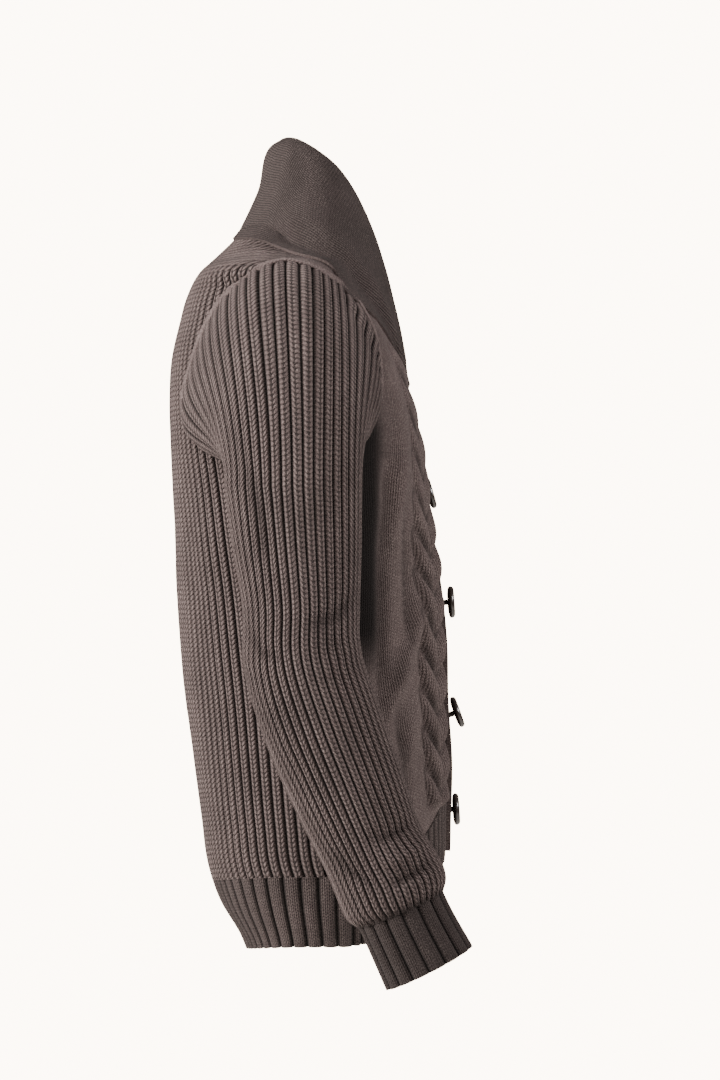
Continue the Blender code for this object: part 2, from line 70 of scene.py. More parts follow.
# Heights on the body.
SHOULDER_TIP_HEIGHT = -0.024
SHOULDER_NECK_HEIGHT = 0.020
UNDERARM_HEIGHT = -0.207
HEM_TOP = -0.604
HEM_BOTTOM = -0.672
# How far rows rise to the front, drop to the back and sink at the nape, and where the hem's part of it ends.
HEM_FRONT_RISE = 0.078
HEM_BACK_DROP = 0.016
HEM_RISE_ENDS = -0.330
HEM_CURVE = 1.3
BACK_NECK_SINK = 0.006
CHEST_DIP_REACH = 0.040
# The bands: how far each reaches past the centre, how far the left one laps, and their curl at the break.
BAND_REACH = 0.022
BAND_LAP = 0.0055
BAND_TOP = -0.156
BAND_SEAM_GAP = 0.0004
CURL_HEIGHTS = (-0.205, -0.150)
BREAK_EDGE = 0.012
# Heights between which the band's wall grows into the collar's, and the collar's free edge gets thin.
BAND_WALL_HEIGHTS = (-0.21, -0.15)
THIN_EDGE_HEIGHTS = (-0.20, -0.13)
THIN_EDGE_WIDTH = 0.012
# The set-in sleeve: its clearance beside the body, and how its cap leaves the armhole.
BESIDE_BODY = 0.0056
UNDERARM_SIDE = (-0.165, -0.110)
CAP_OUTWARD = (0.70, 0.22)
CAP_FORWARD = 0.10
CAP_DOWNWARD = (0.62, 0.30)
CAP_PULL = 1.1
CAP_CLEAR_SHARE = 0.12
CAP_CROWDING = 0.16
# The left arm hangs straighter below its elbow.
LEFT_ARM_SWING = 0.024
SWING_FROM = (0.340, 0.640)
SWING_LEAN = 5.0
# Size of the collar's roll: at most this far, or this share of the fall.
COLLAR_FOLD = (0.006, 0.28)
# Columns: share of the collar's rise from seam to roll, how many folds' width it bows away from the fall.
STAND_BOW = (
    (0.50, 0.90),
    (0.88, 0.50),
)
# How far the fall drops just past the roll, in folds' widths.
ROLL_DROP = 0.9

BODY_COLUMNS = ("z", "half_width", "front", "back", "middle", "front_power", "back_power", "dip")
BODY_ROWS = (
    (-0.700, 0.166, -0.116, 0.046, -0.032, 2.2, 2.5, 0.002),
    (-0.672, 0.172, -0.125, 0.057, -0.032, 2.2, 2.5, 0.002),
    (-0.640, 0.183, -0.137, 0.076, -0.030, 2.2, 2.5, 0.003),
    (-0.604, 0.190, -0.1435, 0.088, -0.026, 2.2, 2.6, 0.003),
    (-0.560, 0.190, -0.1445, 0.094, -0.024, 2.2, 2.7, 0.002),
    (-0.506, 0.187, -0.1450, 0.101, -0.021, 2.2, 2.8, 0.001),
    (-0.444, 0.184, -0.1435, 0.108, -0.017, 2.2, 2.9, 0.004),
    (-0.385, 0.184, -0.1430, 0.113, -0.013, 2.2, 3.0, 0.005),
    (-0.340, 0.186, -0.1400, 0.116, -0.010, 2.2, 3.0, 0.007),
    (-0.281, 0.190, -0.1330, 0.119, -0.005, 2.35, 3.1, 0.011),
    (-0.236, 0.193, -0.1275, 0.122, -0.001, 2.6, 3.1, 0.014),
    (-0.190, 0.197, -0.1195, 0.124, 0.003, 2.9, 3.2, 0.012),
    (-0.147, 0.202, -0.1080, 0.125, 0.006, 3.1, 3.2, 0.009),
    (-0.109, 0.207, -0.0960, 0.123, 0.008, 3.1, 3.1, 0.007),
    (-0.073, 0.211, -0.0800, 0.115, 0.009, 2.8, 3.0, 0.005),
    (-0.047, 0.214, -0.0660, 0.108, 0.010, 2.4, 2.8, 0.003),
    (-0.024, 0.214, -0.0520, 0.096, 0.010, 2.1, 2.5, 0.001),
    (-0.015, 0.168, -0.0450, 0.089, 0.010, 2.0, 2.3, 0.000),
    (-0.004, 0.131, -0.0370, 0.079, 0.010, 2.0, 2.1, 0.000),
    (0.008, 0.108, -0.0290, 0.067, 0.010, 2.0, 2.0, 0.000),
    (0.020, 0.093, -0.0200, 0.056, 0.010, 2.0, 2.0, 0.000),
    (0.032, 0.082, -0.0120, 0.048, 0.010, 2.0, 2.0, 0.000),
    (0.060, 0.070, -0.0100, 0.040, 0.010, 2.0, 2.0, 0.000),
)

# Columns: z, y of the front cut, y of the back cut.
SIDE_ROWS = (
    (-0.700, -0.058, -0.058),
    (-0.560, -0.062, -0.062),
    (-0.440, -0.060, -0.060),
    (-0.330, -0.046, -0.046),
    (-0.250, -0.018, -0.018),
    (-0.207, 0.005, 0.005),
    (-0.202, -0.026, 0.040),
    (-0.193, -0.047, 0.072),
    (-0.180, -0.060, 0.094),
    (-0.163, -0.070, 0.105),
    (-0.140, -0.076, 0.104),
    (-0.112, -0.0765, 0.097),
    (-0.085, -0.071, 0.0865),
    (-0.060, -0.058, 0.0715),
    (-0.040, -0.038, 0.050),
    (-0.030, -0.017, 0.033),
    (-0.024, 0.010, 0.010),
    (0.030, 0.010, 0.010),
)

# Columns: z, x of the front edge beside the band and along the neckline.
EDGE_ROWS = (
    (-0.700, 0.0236),
    (-0.190, 0.0236),
    (-0.148, 0.0360),
    (-0.122, 0.0415),
    (-0.094, 0.0480),
    (-0.062, 0.0560),
    (-0.034, 0.0640),
    (-0.012, 0.0720),
    (0.030, 0.0760),
)

# Columns: centre x, y, z, size front to back, size side to side, forward lean in degrees.
SLEEVE_ROWS = (
    (0.2540, 0.002, -0.2350, 0.122, 0.103, 0.0),
    (0.2560, -0.0015, -0.2900, 0.114, 0.098, 2.0),
    (0.2590, -0.0055, -0.3450, 0.104, 0.095, 3.0),
    (0.2610, -0.0065, -0.3950, 0.104, 0.093, 10.0),
    (0.2610, -0.0243, -0.4534, 0.105, 0.092, 19.0),
    (0.2580, -0.0480, -0.5140, 0.100, 0.090, 23.0),
    (0.2545, -0.0724, -0.5720, 0.092, 0.086, 24.0),
    (0.2525, -0.0870, -0.6010, 0.097, 0.088, 24.0),
    (0.2520, -0.0935, -0.6170, 0.095, 0.086, 24.0),
    (0.2515, -0.0975, -0.6270, 0.081, 0.078, 24.0),
)
CUFF_ROWS = (
    (0.2510, -0.0960, -0.6240, 0.080, 0.077, 23.0),
    (0.2500, -0.1080, -0.6500, 0.081, 0.077, 26.0),
    (0.2490, -0.1245, -0.6830, 0.085, 0.079, 27.0),
)

# Columns: x, y, z of the neck seam, of the roll and of the free edge, from the nape to the break.
COLLAR_ROWS = (
    (0.000, 0.053, 0.014, 0.000, 0.017, 0.113, 0.000, 0.0640, 0.0130),
    (0.038, 0.046, 0.015, 0.030, 0.013, 0.1125, 0.060, 0.0540, 0.0050),
    (0.064, 0.028, 0.019, 0.054, 0.001, 0.108, 0.112, 0.032, -0.002),
    (0.076, 0.006, 0.022, 0.066, -0.018, 0.096, 0.160, 0.006, -0.011),
    (0.076, -0.018, 0.008, 0.066, -0.038, 0.079, 0.180, -0.026, -0.029),
    (0.073, -0.038, -0.012, 0.060, -0.056, 0.053, 0.174, -0.052, -0.049),
    (0.066, -0.055, -0.034, 0.051, -0.071, 0.020, 0.142, -0.072, -0.062),
    (0.058, -0.069, -0.062, 0.040, -0.082, -0.014, 0.104, -0.086, -0.078),
    (0.049, -0.083, -0.094, 0.030, -0.090, -0.052, 0.066, -0.097, -0.096),
    (0.042, -0.092, -0.122, 0.021, -0.0975, -0.092, 0.035, -0.104, -0.113),
    (0.036, -0.098, -0.148, 0.014, -0.1050, -0.126, 0.016, -0.110, -0.132),
)

# Columns: z, y, how far the face leans up in degrees.
BUTTON_ROWS = (
    (-0.238, -0.1300, 16.0),
    (-0.347, -0.1510, 4.0),
    (-0.457, -0.1570, 20.0),
    (-0.554, -0.1560, 4.0),
)

# Folds that run over the fronts, as paths of (y, z), each with its width and its height.
FRONT_FOLDS = (
    (
        ((-0.0725, -0.075), (-0.087, -0.124), (-0.0965, -0.165), (-0.099, -0.2275), (-0.0975, -0.290)),
        0.0070,
        0.0050,
    ),
    (
        ((-0.118, -0.318), (-0.1135, -0.354), (-0.108, -0.382), (-0.101, -0.405), (-0.084, -0.462)),
        0.0065,
        0.0070,
    ),
    (((-0.1015, -0.220), (-0.1035, -0.285), (-0.1045, -0.345), (-0.105, -0.420)), 0.0050, -0.0034),
    (((-0.093, -0.430), (-0.100, -0.490), (-0.109, -0.560)), 0.0052, -0.0032),
    (((-0.086, -0.190), (-0.086, -0.250), (-0.080, -0.330)), 0.0070, -0.0050),
    (((-0.078, -0.270), (-0.080, -0.350), (-0.077, -0.470)), 0.0060, -0.0036),
    (((-0.112, -0.430), (-0.108, -0.470), (-0.098, -0.520)), 0.0070, 0.0036),
    (((-0.132, -0.250), (-0.136, -0.320), (-0.139, -0.420), (-0.139, -0.540)), 0.0050, -0.0016),
)
# Folds of the sleeves, as paths of (y, z) seen from outside.
SLEEVE_FOLDS = (
    (((-0.060, -0.330), (-0.036, -0.356), (-0.004, -0.366)), 0.0090, -0.0018),
    (((-0.062, -0.372), (-0.040, -0.394), (-0.012, -0.408)), 0.0085, 0.0016),
    (((0.050, -0.190), (0.032, -0.262), (0.022, -0.330)), 0.0100, -0.0036),
    (((0.046, -0.360), (0.030, -0.388), (0.004, -0.398)), 0.0085, -0.0020),
    (((0.032, -0.400), (0.014, -0.450), (-0.004, -0.500)), 0.0095, 0.0026),
    (((-0.112, -0.542), (-0.092, -0.556), (-0.060, -0.560)), 0.0065, -0.0040),
    (((-0.124, -0.562), (-0.104, -0.574), (-0.076, -0.584)), 0.0060, 0.0034),
    (((-0.130, -0.580), (-0.108, -0.592), (-0.084, -0.604)), 0.0050, -0.0036),
    (((-0.030, -0.566), (-0.052, -0.590), (-0.080, -0.606)), 0.0070, -0.0030),
)
# Folds of the back, as paths of (x, z).
BACK_FOLDS = (
    (((-0.150, -0.180), (-0.135, -0.300), (-0.140, -0.430), (-0.150, -0.560)), 0.0180, -0.0030),
    (((-0.070, -0.250), (-0.060, -0.380), (-0.066, -0.500)), 0.0200, 0.0024),
    (((0.030, -0.140), (0.040, -0.300), (0.034, -0.460)), 0.0190, -0.0022),
    (((0.105, -0.200), (0.096, -0.340), (0.110, -0.520)), 0.0180, 0.0026),
    (((0.150, -0.190), (0.146, -0.330), (0.154, -0.470)), 0.0160, -0.0026),
)
# The left side's folds lie a little apart from the right side's.
LEFT_FOLD_SHIFT = (0.006, -0.018)
# How much higher than their rows say the fronts' folds are.
FRONT_FOLD_SIZE = 1.4
# Share of a fold's length over which it swells from each end, and its height at the ends.
FOLD_TAPER = 0.35
FOLD_END_SHARE = 0.15
FOLD_STATIONS = 40
# Width of a crease's shade as a share of the fold's.
CREASE_WIDTH = 0.6

# Painted shade in creases, gaps and grooves, from 0 to 1. The cable's are the one under each strand, the one
# beside the cable and the one along its middle. The sleeve's end and the cuff's top get it where the sleeve
# blouses over the cuff, and the whole cuff gets it because it faces away from the lights.
CREASE_SHADE = 0.54
CABLE_SHADE = 0.74
CABLE_SIDE_SHADE = 0.56
CABLE_MIDDLE_SHADE = 0.5
SLEEVE_END_SHADE = 0.7
CUFF_TOP_SHADE = 0.8
CUFF_SHADE = 0.56
STITCH_GAP_SHADE = 0.80
# Tone of the seams' wool beside the yarn's.
SEAM_TONE = 0.94

# The cable: heights at its ends, and the chest, where it lies flatter.
CABLE_BOTTOM = (-0.550, -0.535)
CABLE_TOP = (-0.108, -0.088)
CABLE_CHEST = (-0.310, -0.235)
CABLE_CHEST_LOSS = 0.55
# Its cross-section: how square the strands are, how much they swell and reach out, where they end, and the
# grooves beside it and along its middle.
CABLE_ROUNDNESS = 0.6
CABLE_SWELL = 0.28
CABLE_SCALLOP = 0.20
CABLE_EDGE = (0.84, 1.04)
CABLE_GROOVE_PLACE = 1.10
CABLE_GROOVE_WIDTH = 0.0022
CABLE_GROOVE_DEPTH = 0.0024
CABLE_MIDDLE_DEPTH = 0.25
# Shares of a strand, from its foot and from its head, over which its shade fades.
CABLE_FOOT = (0.04, 0.34)
CABLE_HEAD = (0.0, 0.10)

# The back: where its folds fade out at the sides, and how its ribs go flat into the armhole seams.
BACK_FOLD_SIDES = (0.02, 0.06)
SEWN_HEIGHTS = (-0.110, -0.060)
SEWN_WIDTH = 0.014
SEWN_SHOULDER_WIDTH = 0.020
SEWN_SHOULDER_HEIGHTS = (-0.060, -0.030)
SEWN_FLAT_SHARE = 0.14

# Where the sleeves' folds fade out on the inner side, by the cosine of the angle, and how far shades reach.
SLEEVE_FOLD_SIDES = (-0.35, 0.25)
SLEEVE_END_REACH = 0.010
CUFF_TOP_REACH = (0.002, 0.012)

# Painted shade in the gap under the arm: how far back the gap lies, and the heights over which it starts and
# ends.
UNDER_ARM_BEHIND = (-0.092, -0.071)
UNDER_ARM_BOTTOM = (-0.44, -0.37)
UNDER_ARM_TOP = (-0.185, -0.135)

# Seams: radius of the armhole's ridge, its stitches, and the seam along the back of the forearm.
RIDGE_RADIUS = 0.0024
RIDGE_POINTS = 220
RIDGE_BESIDE_BODY = 0.6 * BESIDE_BODY
SEAM_SIDES = {"ridge": 10, "arm": 12}
STITCH_OFFSET = 0.0017
STITCH_LIFT = 0.0012
STITCH_TURN = 0.42
STITCH_SIZE = {"pitch": 0.0038, "length": 0.0056, "width": 0.0027}
ARM_SEAM_ANGLE = math.radians(-74.0)
ARM_SEAM_ROWS = slice(34, -3)
# Columns: name, how far the seam's line lies off the sleeve, radius.
ARM_SEAM_LINES = (
    ("strip", -0.0018, 0.0046),
    ("edge", 0.0020, 0.0010),
)

# How finely each piece is cut, and how its ribs are spaced.
OUTLINE_STEPS = 160
RIB_SAMPLES = 6
# Columns: lowest height, highest height, count of rows. They are closer where the armhole turns.
BACK_LEVEL_RUNS = (
    (HEM_TOP, -0.216, 50),
    (-0.214, -0.188, 11),
    (-0.184, -0.045, 28),
    (-0.043, -0.025, 12),
    (-0.0242, -0.003, 28),
    (0.000, SHOULDER_NECK_HEIGHT, 10),
)
FRONT_LEVEL_RUNS = (
    (HEM_TOP, -0.216, 116),
    (-0.213, -0.187, 10),
    (-0.184, -0.045, 44),
    (-0.043, -0.024, 12),
    (-0.022, SHOULDER_NECK_HEIGHT, 14),
)
FRONT_NEAR_COLUMNS = 74
FRONT_NEAR_STEP = 0.0015
FRONT_FAR_COLUMNS = 34
MOST_NEAR_SHARE = 0.8
HEM_ROW_COUNT = 14
HEM_COLUMN_STEP = 0.0017
HEM_NEAR_STEP = 0.0018
SLEEVE_RIB_SAMPLES = 7
CAP_ROW_COUNT = 40
TUBE_ROW_COUNT = 78
CUFF_RIB_SAMPLES = 12
CUFF_ROW_COUNT = 18
COLLAR_HALF_COLUMNS = 42
COLLAR_STATIONS = 78
BAND_ROW_COUNT = 84
ARMHOLE_LEVELS = 90
ARMHOLE_SMOOTHINGS = 8
SHARP_ANGLE = math.radians(70.0)
# How slopes are measured, in how many tries points are moved off the body, and the most that a try presses.
SLOPE_STEP = 0.0005
LIFT_TRIES = 4
MOST_PRESS = 0.006
# Corners this close are welded, and no length that is divided by gets smaller than the least one.
WELD_DISTANCE = 2e-6
LEAST_LENGTH = 1e-9

# How round the ribs are, the share of their depth that is sunk in the wall, and the wool's small patterns.
THICK_RIB_ROUNDNESS = 0.6
HEM_RIB_ROUNDNESS = 0.35
CUFF_RIB_ROUNDNESS = 0.45
RIB_SUNK_SHARE = 0.6
FIBRE_SCALE = 620.0
FLECK_RANGE = (0.46, 0.74)
PATCH_SCALE = 24.0
PATCH_RANGE = (0.3, 0.7)
PATCH_TONES = {"low": 0.84, "high": 1.14}
FUZZ_DEPTH = 0.0006
THREAD_DARK = (0.035, 0.026, 0.023, 1.0)
THREAD_LIGHT = (0.085, 0.065, 0.056, 1.0)

# ---------------------------------------------------------------------------------------------
# Settings that a user would change.


class YarnSettings(bpy.types.PropertyGroup):
    colour: FloatVectorProperty(
        name="Yarn",
        description="Colour of the wool",
        subtype="COLOR",
        size=3,
        default=(0.108, 0.078, 0.075),
    )
    # The colour of the painted shade in gaps, grooves, creases and the other painted shade.
    shade: FloatVectorProperty(
        name="Shade",
        description="Colour between the stitches",
        subtype="COLOR",
        size=3,
        default=(0.006, 0.004, 0.004),
    )
    fleck: FloatVectorProperty(
        name="Fleck",
        description="Lighter fibres in the yarn",
        subtype="COLOR",
        size=3,
        default=(0.205, 0.160, 0.148),
    )
    sheen: FloatProperty(
        name="Sheen", description="How much nap the wool shows", default=0.05, min=0.0, max=1.0
    )


class KnitSettings(bpy.types.PropertyGroup):
    body_rib: FloatProperty(
        name="Body rib", description="Spacing of the ribs on the back", default=0.0104, unit="LENGTH"
    )
    sleeve_ribs: IntProperty(name="Sleeve ribs", description="Ribs round a sleeve", default=39, min=8)
    hem_rib: FloatProperty(
        name="Hem rib", description="Spacing of the ribs on the hem", default=0.0170, unit="LENGTH"
    )
    cuff_ribs: IntProperty(name="Cuff ribs", description="Ribs round a cuff", default=16, min=6)
    wale: FloatProperty(name="Wale", description="Width of a plain stitch", default=0.0040, unit="LENGTH")
    course: FloatProperty(
        name="Course", description="Height of a plain stitch", default=0.0031, unit="LENGTH"
    )
    rib_course: FloatProperty(
        name="Rib course", description="Height of a stitch in the thick rib", default=0.0047, unit="LENGTH"
    )
    fine_rib: FloatProperty(
        name="Fine rib", description="Spacing of the collar's ribs", default=0.0026, unit="LENGTH"
    )
    rib_depth: FloatProperty(
        name="Rib depth", description="Depth of the thick ribs", default=0.0036, unit="LENGTH"
    )
    hem_depth: FloatProperty(
        name="Hem depth", description="Depth of the wide ribs", default=0.0032, unit="LENGTH"
    )
    cable_pitch: FloatProperty(
        name="Cable pitch", description="Height of one cable V", default=0.0385, unit="LENGTH"
    )
    cable_place: FloatProperty(
        name="Cable place",
        description="Middle of the cable from the centre front",
        default=0.0960,
        unit="LENGTH",
    )
    cable_slope: FloatProperty(
        name="Cable slope", description="Rise of a strand across the cable", default=0.65
    )
    cable_start: FloatProperty(name="Cable start", description="Where the first cable V starts", default=0.0)
    cable_half: FloatProperty(
        name="Cable half", description="Half the cable's width", default=0.0290, unit="LENGTH"
    )
    cable_depth: FloatProperty(
        name="Cable depth", description="Height of the cable", default=0.0112, unit="LENGTH"
    )


class ButtonSettings(bpy.types.PropertyGroup):
    radius: FloatProperty(name="Radius", description="Radius of a button", default=0.0160, unit="LENGTH")
    thickness: FloatProperty(
        name="Thickness", description="Thickness of a button", default=0.0070, unit="LENGTH"
    )
    hole: FloatProperty(name="Hole", description="Radius of a sewing hole", default=0.0013, unit="LENGTH")
    spread: FloatProperty(name="Spread", description="Holes from the middle", default=0.0030, unit="LENGTH")
    horn: FloatVectorProperty(
        name="Horn",
        description="Colour of the buttons",
        subtype="COLOR",
        size=3,
        default=(0.020, 0.013, 0.010),
    )
    vein: FloatVectorProperty(
        name="Vein",
        description="Lighter streaks in the horn",
        subtype="COLOR",
        size=3,
        default=(0.085, 0.055, 0.036),
    )


class StageSettings(bpy.types.PropertyGroup):
    floor_height: FloatProperty(
        name="Floor", description="Height of the floor", default=-1.45, unit="LENGTH"
    )
    floor_radius: FloatProperty(
        name="Floor radius", description="Radius of the floor", default=3.9, unit="LENGTH"
    )
    floor_glow: FloatProperty(
        name="Floor glow", description="Extra brightness of the seen floor", default=3.2
    )
    backdrop: FloatVectorProperty(
        name="Backdrop",
        description="Colour behind the garment",
        subtype="COLOR",
        size=3,
        default=(1.0, 0.86, 0.70),
    )
    key_power: FloatProperty(
        name="Key light", description="Power of the main light", default=34.5, unit="POWER"
    )
    side_power: FloatProperty(
        name="Side light", description="Power of the light behind", default=235.0, unit="POWER"
    )
    fill_power: FloatProperty(
        name="Fill light", description="Power of the front light", default=4.0, unit="POWER"
    )
    rim_power: FloatProperty(
        name="Rim light", description="Power of the far light", default=96.0, unit="POWER"
    )


# ---------------------------------------------------------------------------------------------
# Reading the tables.


class SmoothTable:
    """Rows read at any value of the first column, on a smooth curve through them."""

    def __init__(self, rows):
        self.rows = np.asarray(rows, float)
        self.keys = self.rows[:, 0]
        self.slopes = np.gradient(self.rows, self.keys, axis=0)

    def read(self, where):
        where = np.clip(np.asarray(where, float), self.keys[0], self.keys[-1])
        low = np.clip(np.searchsorted(self.keys, where) - 1, 0, len(self.keys) - 2)
        span = (self.keys[low + 1] - self.keys[low])[..., None]
        t = (where - self.keys[low])[..., None] / span
        return (
            (2 * t**3 - 3 * t**2 + 1) * self.rows[low]
            + (t**3 - 2 * t**2 + t) * span * self.slopes[low]
            + (3 * t**2 - 2 * t**3) * self.rows[low + 1]
            + (t**3 - t**2) * span * self.slopes[low + 1]
        )


BODY = SmoothTable(BODY_ROWS)


def straight(rows, column, where):
    table = np.asarray(rows, float)
    return np.interp(where, table[:, 0], table[:, column])


def by_index(rows, count):
    """A table without a key column, read evenly along its rows."""
    table = np.asarray(rows, float)
    keyed = SmoothTable(np.column_stack([np.arange(len(table)), table]))
    return keyed.read(np.linspace(0, len(table) - 1, count))[:, 1:]


def smooth_step(value, start, end):
    share = np.clip((np.asarray(value, float) - start) / (end - start), 0.0, 1.0)
    return share * share * (3.0 - 2.0 * share)


def section_at(height):
    values = BODY.read(height)
    return {name: values[..., k] for k, name in enumerate(BODY_COLUMNS)}


def centre_dip(x, section):
    return section["dip"] * np.exp(-((x / CHEST_DIP_REACH) ** 2))


def body_value(points):
    """1 on the body's middle surface, more outside it."""
    section = section_at(points[..., 2])
    y = points[..., 1] - section["middle"]
    behind = y >= 0
    depth = np.where(behind, section["back"] - section["middle"], section["middle"] - section["front"])
    power = np.where(behind, section["back_power"], section["front_power"])
    y = np.where(behind, y, y - centre_dip(points[..., 0], section))
    across = np.abs(points[..., 0]) / section["half_width"]
    return (across**power + (np.abs(y) / depth) ** power) ** (1 / power)


def body_gradient(points):
    steps = SLOPE_STEP * np.eye(3)
    changes = [body_value(points + step) - body_value(points - step) for step in steps]
    return np.stack(changes, axis=-1) / (2 * SLOPE_STEP)


def unit(vectors):
    return vectors / np.maximum(np.linalg.norm(vectors, axis=-1, keepdims=True), LEAST_LENGTH)


def body_normal(points):
    return unit(body_gradient(points))


def off_body(points):
    """Distance of points from the body's middle surface, and the direction away from it."""
    gradient = body_gradient(points)
    size = np.maximum(np.linalg.norm(gradient, axis=-1), LEAST_LENGTH)
    return (body_value(points) - 1.0) / size, gradient / size[..., None]


def lift_off_body(points, clearance):
    """Moves points out until they are at least this far from the body's middle surface."""
    for _ in range(LIFT_TRIES):
        distance, away = off_body(points)
        points = points + away * np.maximum(clearance - distance, 0.0)[..., None]
    return points


def press_to_body(points, clearance, share):
    """Moves points a share of the way to this clearance from the body's middle surface."""
    for _ in range(LIFT_TRIES):
        distance, away = off_body(points)
        move = np.clip(clearance - distance, -MOST_PRESS, MOST_PRESS) * share
        points = points + away * move[..., None]
    return points


def row_height(level, across, is_front):
    """Height of a body row: it rises to the front hem, drops to the back hem and sinks at the nape."""
    hem_share = 1.0 - smooth_step(level, HEM_TOP, HEM_RISE_ENDS)
    inward = np.cos(0.5 * math.pi * np.minimum(across, 1.0))
    if is_front:
        return level + HEM_FRONT_RISE * hem_share * np.maximum(inward, 0.0) ** HEM_CURVE
    sink = BACK_NECK_SINK * smooth_step(level, SHOULDER_TIP_HEIGHT, SHOULDER_NECK_HEIGHT)
    return level - HEM_BACK_DROP * hem_share * inward - sink * inward


def half_ring(level):
    """Right half of the body at one level, from the centre back round the side to the centre front."""
    flat = section_at(level)
    turn = np.linspace(0.0, 0.5 * math.pi, OUTLINE_STEPS)
    halves = []
    for is_front in (False, True):
        angles = turn[::-1][1:] if is_front else turn
        power = flat["front_power"] if is_front else flat["back_power"]
        across = np.maximum(np.sin(angles), 0.0) ** (2 / power)
        inward = np.maximum(np.cos(angles), 0.0) ** (2 / power)
        height = row_height(level, across, is_front)
        section = section_at(height)
        x = section["half_width"] * across
        if is_front:
            y = section["middle"] - (section["middle"] - section["front"]) * inward
            y = y + centre_dip(x, section) * inward
        else:
            y = section["middle"] + (section["back"] - section["middle"]) * inward
        halves.append(np.column_stack([-x, y, height]))
    return np.concatenate(halves)


def lengths_along(points):
    steps = np.linalg.norm(np.diff(points, axis=0), axis=1)
    return np.concatenate([[0.0], np.cumsum(steps)])


def at_distances(points, wanted):
    along = lengths_along(points)
    return np.column_stack([np.interp(wanted, along, points[:, k]) for k in range(3)])


def place_where(points, amounts):
    """Distance along a line at which the amounts rise to zero."""
    along = lengths_along(points)
    index = int(np.argmax(amounts >= 0))
    if amounts[index] < 0:
        return along[-1]
    if index == 0:
        return 0.0
    share = -amounts[index - 1] / (amounts[index] - amounts[index - 1])
    return along[index - 1] + share * (along[index] - along[index - 1])


def side_cut(points, column):
    return place_where(points, straight(SIDE_ROWS, column, points[:, 2]) - points[:, 1])


def front_edge(points):
    behind = points[:, 1] > section_at(points[:, 2])["middle"]
    amounts = straight(EDGE_ROWS, 1, points[:, 2]) + points[:, 0]
    return place_where(points, np.where(behind, -1.0, amounts))


def on_side(points, sign):
    """Points as they are for a sign of 1, or mirrored to the other side for -1."""
    return points * np.array([sign, 1.0, 1.0])


def fold_shape(flat_places, folds, shift=(0.0, 0.0)):
    """How far folds lift each place, and the painted shade in their creases, from paths, widths and heights.
    """
    lift = np.zeros(flat_places.shape[:-1])
    hollow = np.zeros(flat_places.shape[:-1])
    for path, width, height in folds:
        path = np.asarray(path, float) + np.array(shift)
        along = lengths_along(path)
        stations = np.linspace(0.0, along[-1], FOLD_STATIONS)
        dense = np.column_stack([np.interp(stations, along, path[:, k]) for k in range(2)])
        gaps = np.linalg.norm(flat_places[..., None, :] - dense, axis=-1)
        nearest = gaps.argmin(axis=-1)
        share = stations[nearest] / along[-1]
        taper = smooth_step(share, 0.0, FOLD_TAPER) * smooth_step(1.0 - share, 0.0, FOLD_TAPER)
        nearness = gaps.min(axis=-1) / width
        swell = FOLD_END_SHARE + (1.0 - FOLD_END_SHARE) * taper
        lift += height * np.exp(-(nearness**2)) * swell
        # A crease gets painted shade along its line.
        if height < 0:
            painted_crease_shade = np.exp(-((nearness / CREASE_WIDTH) ** 2))
            hollow = np.maximum(hollow, CREASE_SHADE * taper * painted_crease_shade)
    return lift, hollow


# ---------------------------------------------------------------------------------------------
# Cloth walls.


def grid_normals(grid, closed):
    """Unit normals of a grid, from its neighbours along and across."""
    if closed:
        across = np.roll(grid, -1, axis=1) - np.roll(grid, 1, axis=1)
    else:
        across = np.gradient(grid, axis=1)
    return unit(np.cross(np.gradient(grid, axis=0), across))


def steps_down(grid):
    """Distance down each column of a grid, from its first row."""
    steps = np.linalg.norm(np.diff(grid, axis=0), axis=2)
    return np.concatenate([np.zeros((1, grid.shape[1])), np.cumsum(steps, axis=0)])


def steps_across(grid):
    steps = np.linalg.norm(np.diff(grid, axis=1), axis=2)
    return np.concatenate([np.zeros((grid.shape[0], 1)), np.cumsum(steps, axis=1)], axis=1)


def rim_quads(steps, fixed, at_row, turned):
    """Corner rows, columns and skins of the quads that join the two skins along a fixed row or column."""
    moving = np.stack([steps, steps + 1, steps + 1, steps], 1)
    still = np.full(moving.shape, fixed)
    skins = np.tile([0, 0, 1, 1], (len(steps), 1))
    quads = (still, moving, skins) if at_row else (moving, still, skins)
    return tuple(part[:, ::-1] for part in quads) if turned else quads


def wall_quads(rows, columns, closed):
    """Corner rows, columns and skins of every quad of a wall: two skins and the rim round them."""
    down = np.arange(rows - 1)
    along = np.arange(columns if closed else columns - 1)
    r, c = (places.ravel() for places in np.meshgrid(down, along, indexing="ij"))
    outer_r, outer_c = np.stack([r, r, r + 1, r + 1], 1), np.stack([c, c + 1, c + 1, c], 1)
    parts = [
        (outer_r, outer_c, np.zeros_like(outer_r)),
        (outer_r[:, ::-1], outer_c[:, ::-1], np.ones_like(outer_r)),
        rim_quads(along, 0, at_row=True, turned=False),
        rim_quads(along, rows - 1, at_row=True, turned=True),
    ]
    if not closed:
        parts.append(rim_quads(down, 0, at_row=False, turned=True))
        parts.append(rim_quads(down, columns - 1, at_row=False, turned=False))
    return [np.concatenate(pieces) for pieces in zip(*parts)]


def store(mesh, name, kind, values):
    """Keeps a value or a vector for each point of a mesh, as an attribute."""
    data = mesh.attributes.new(name, kind, "POINT").data
    field = "vector" if kind == "FLOAT_VECTOR" else "value"
    data.foreach_set(field, np.asarray(values, np.float32).ravel())


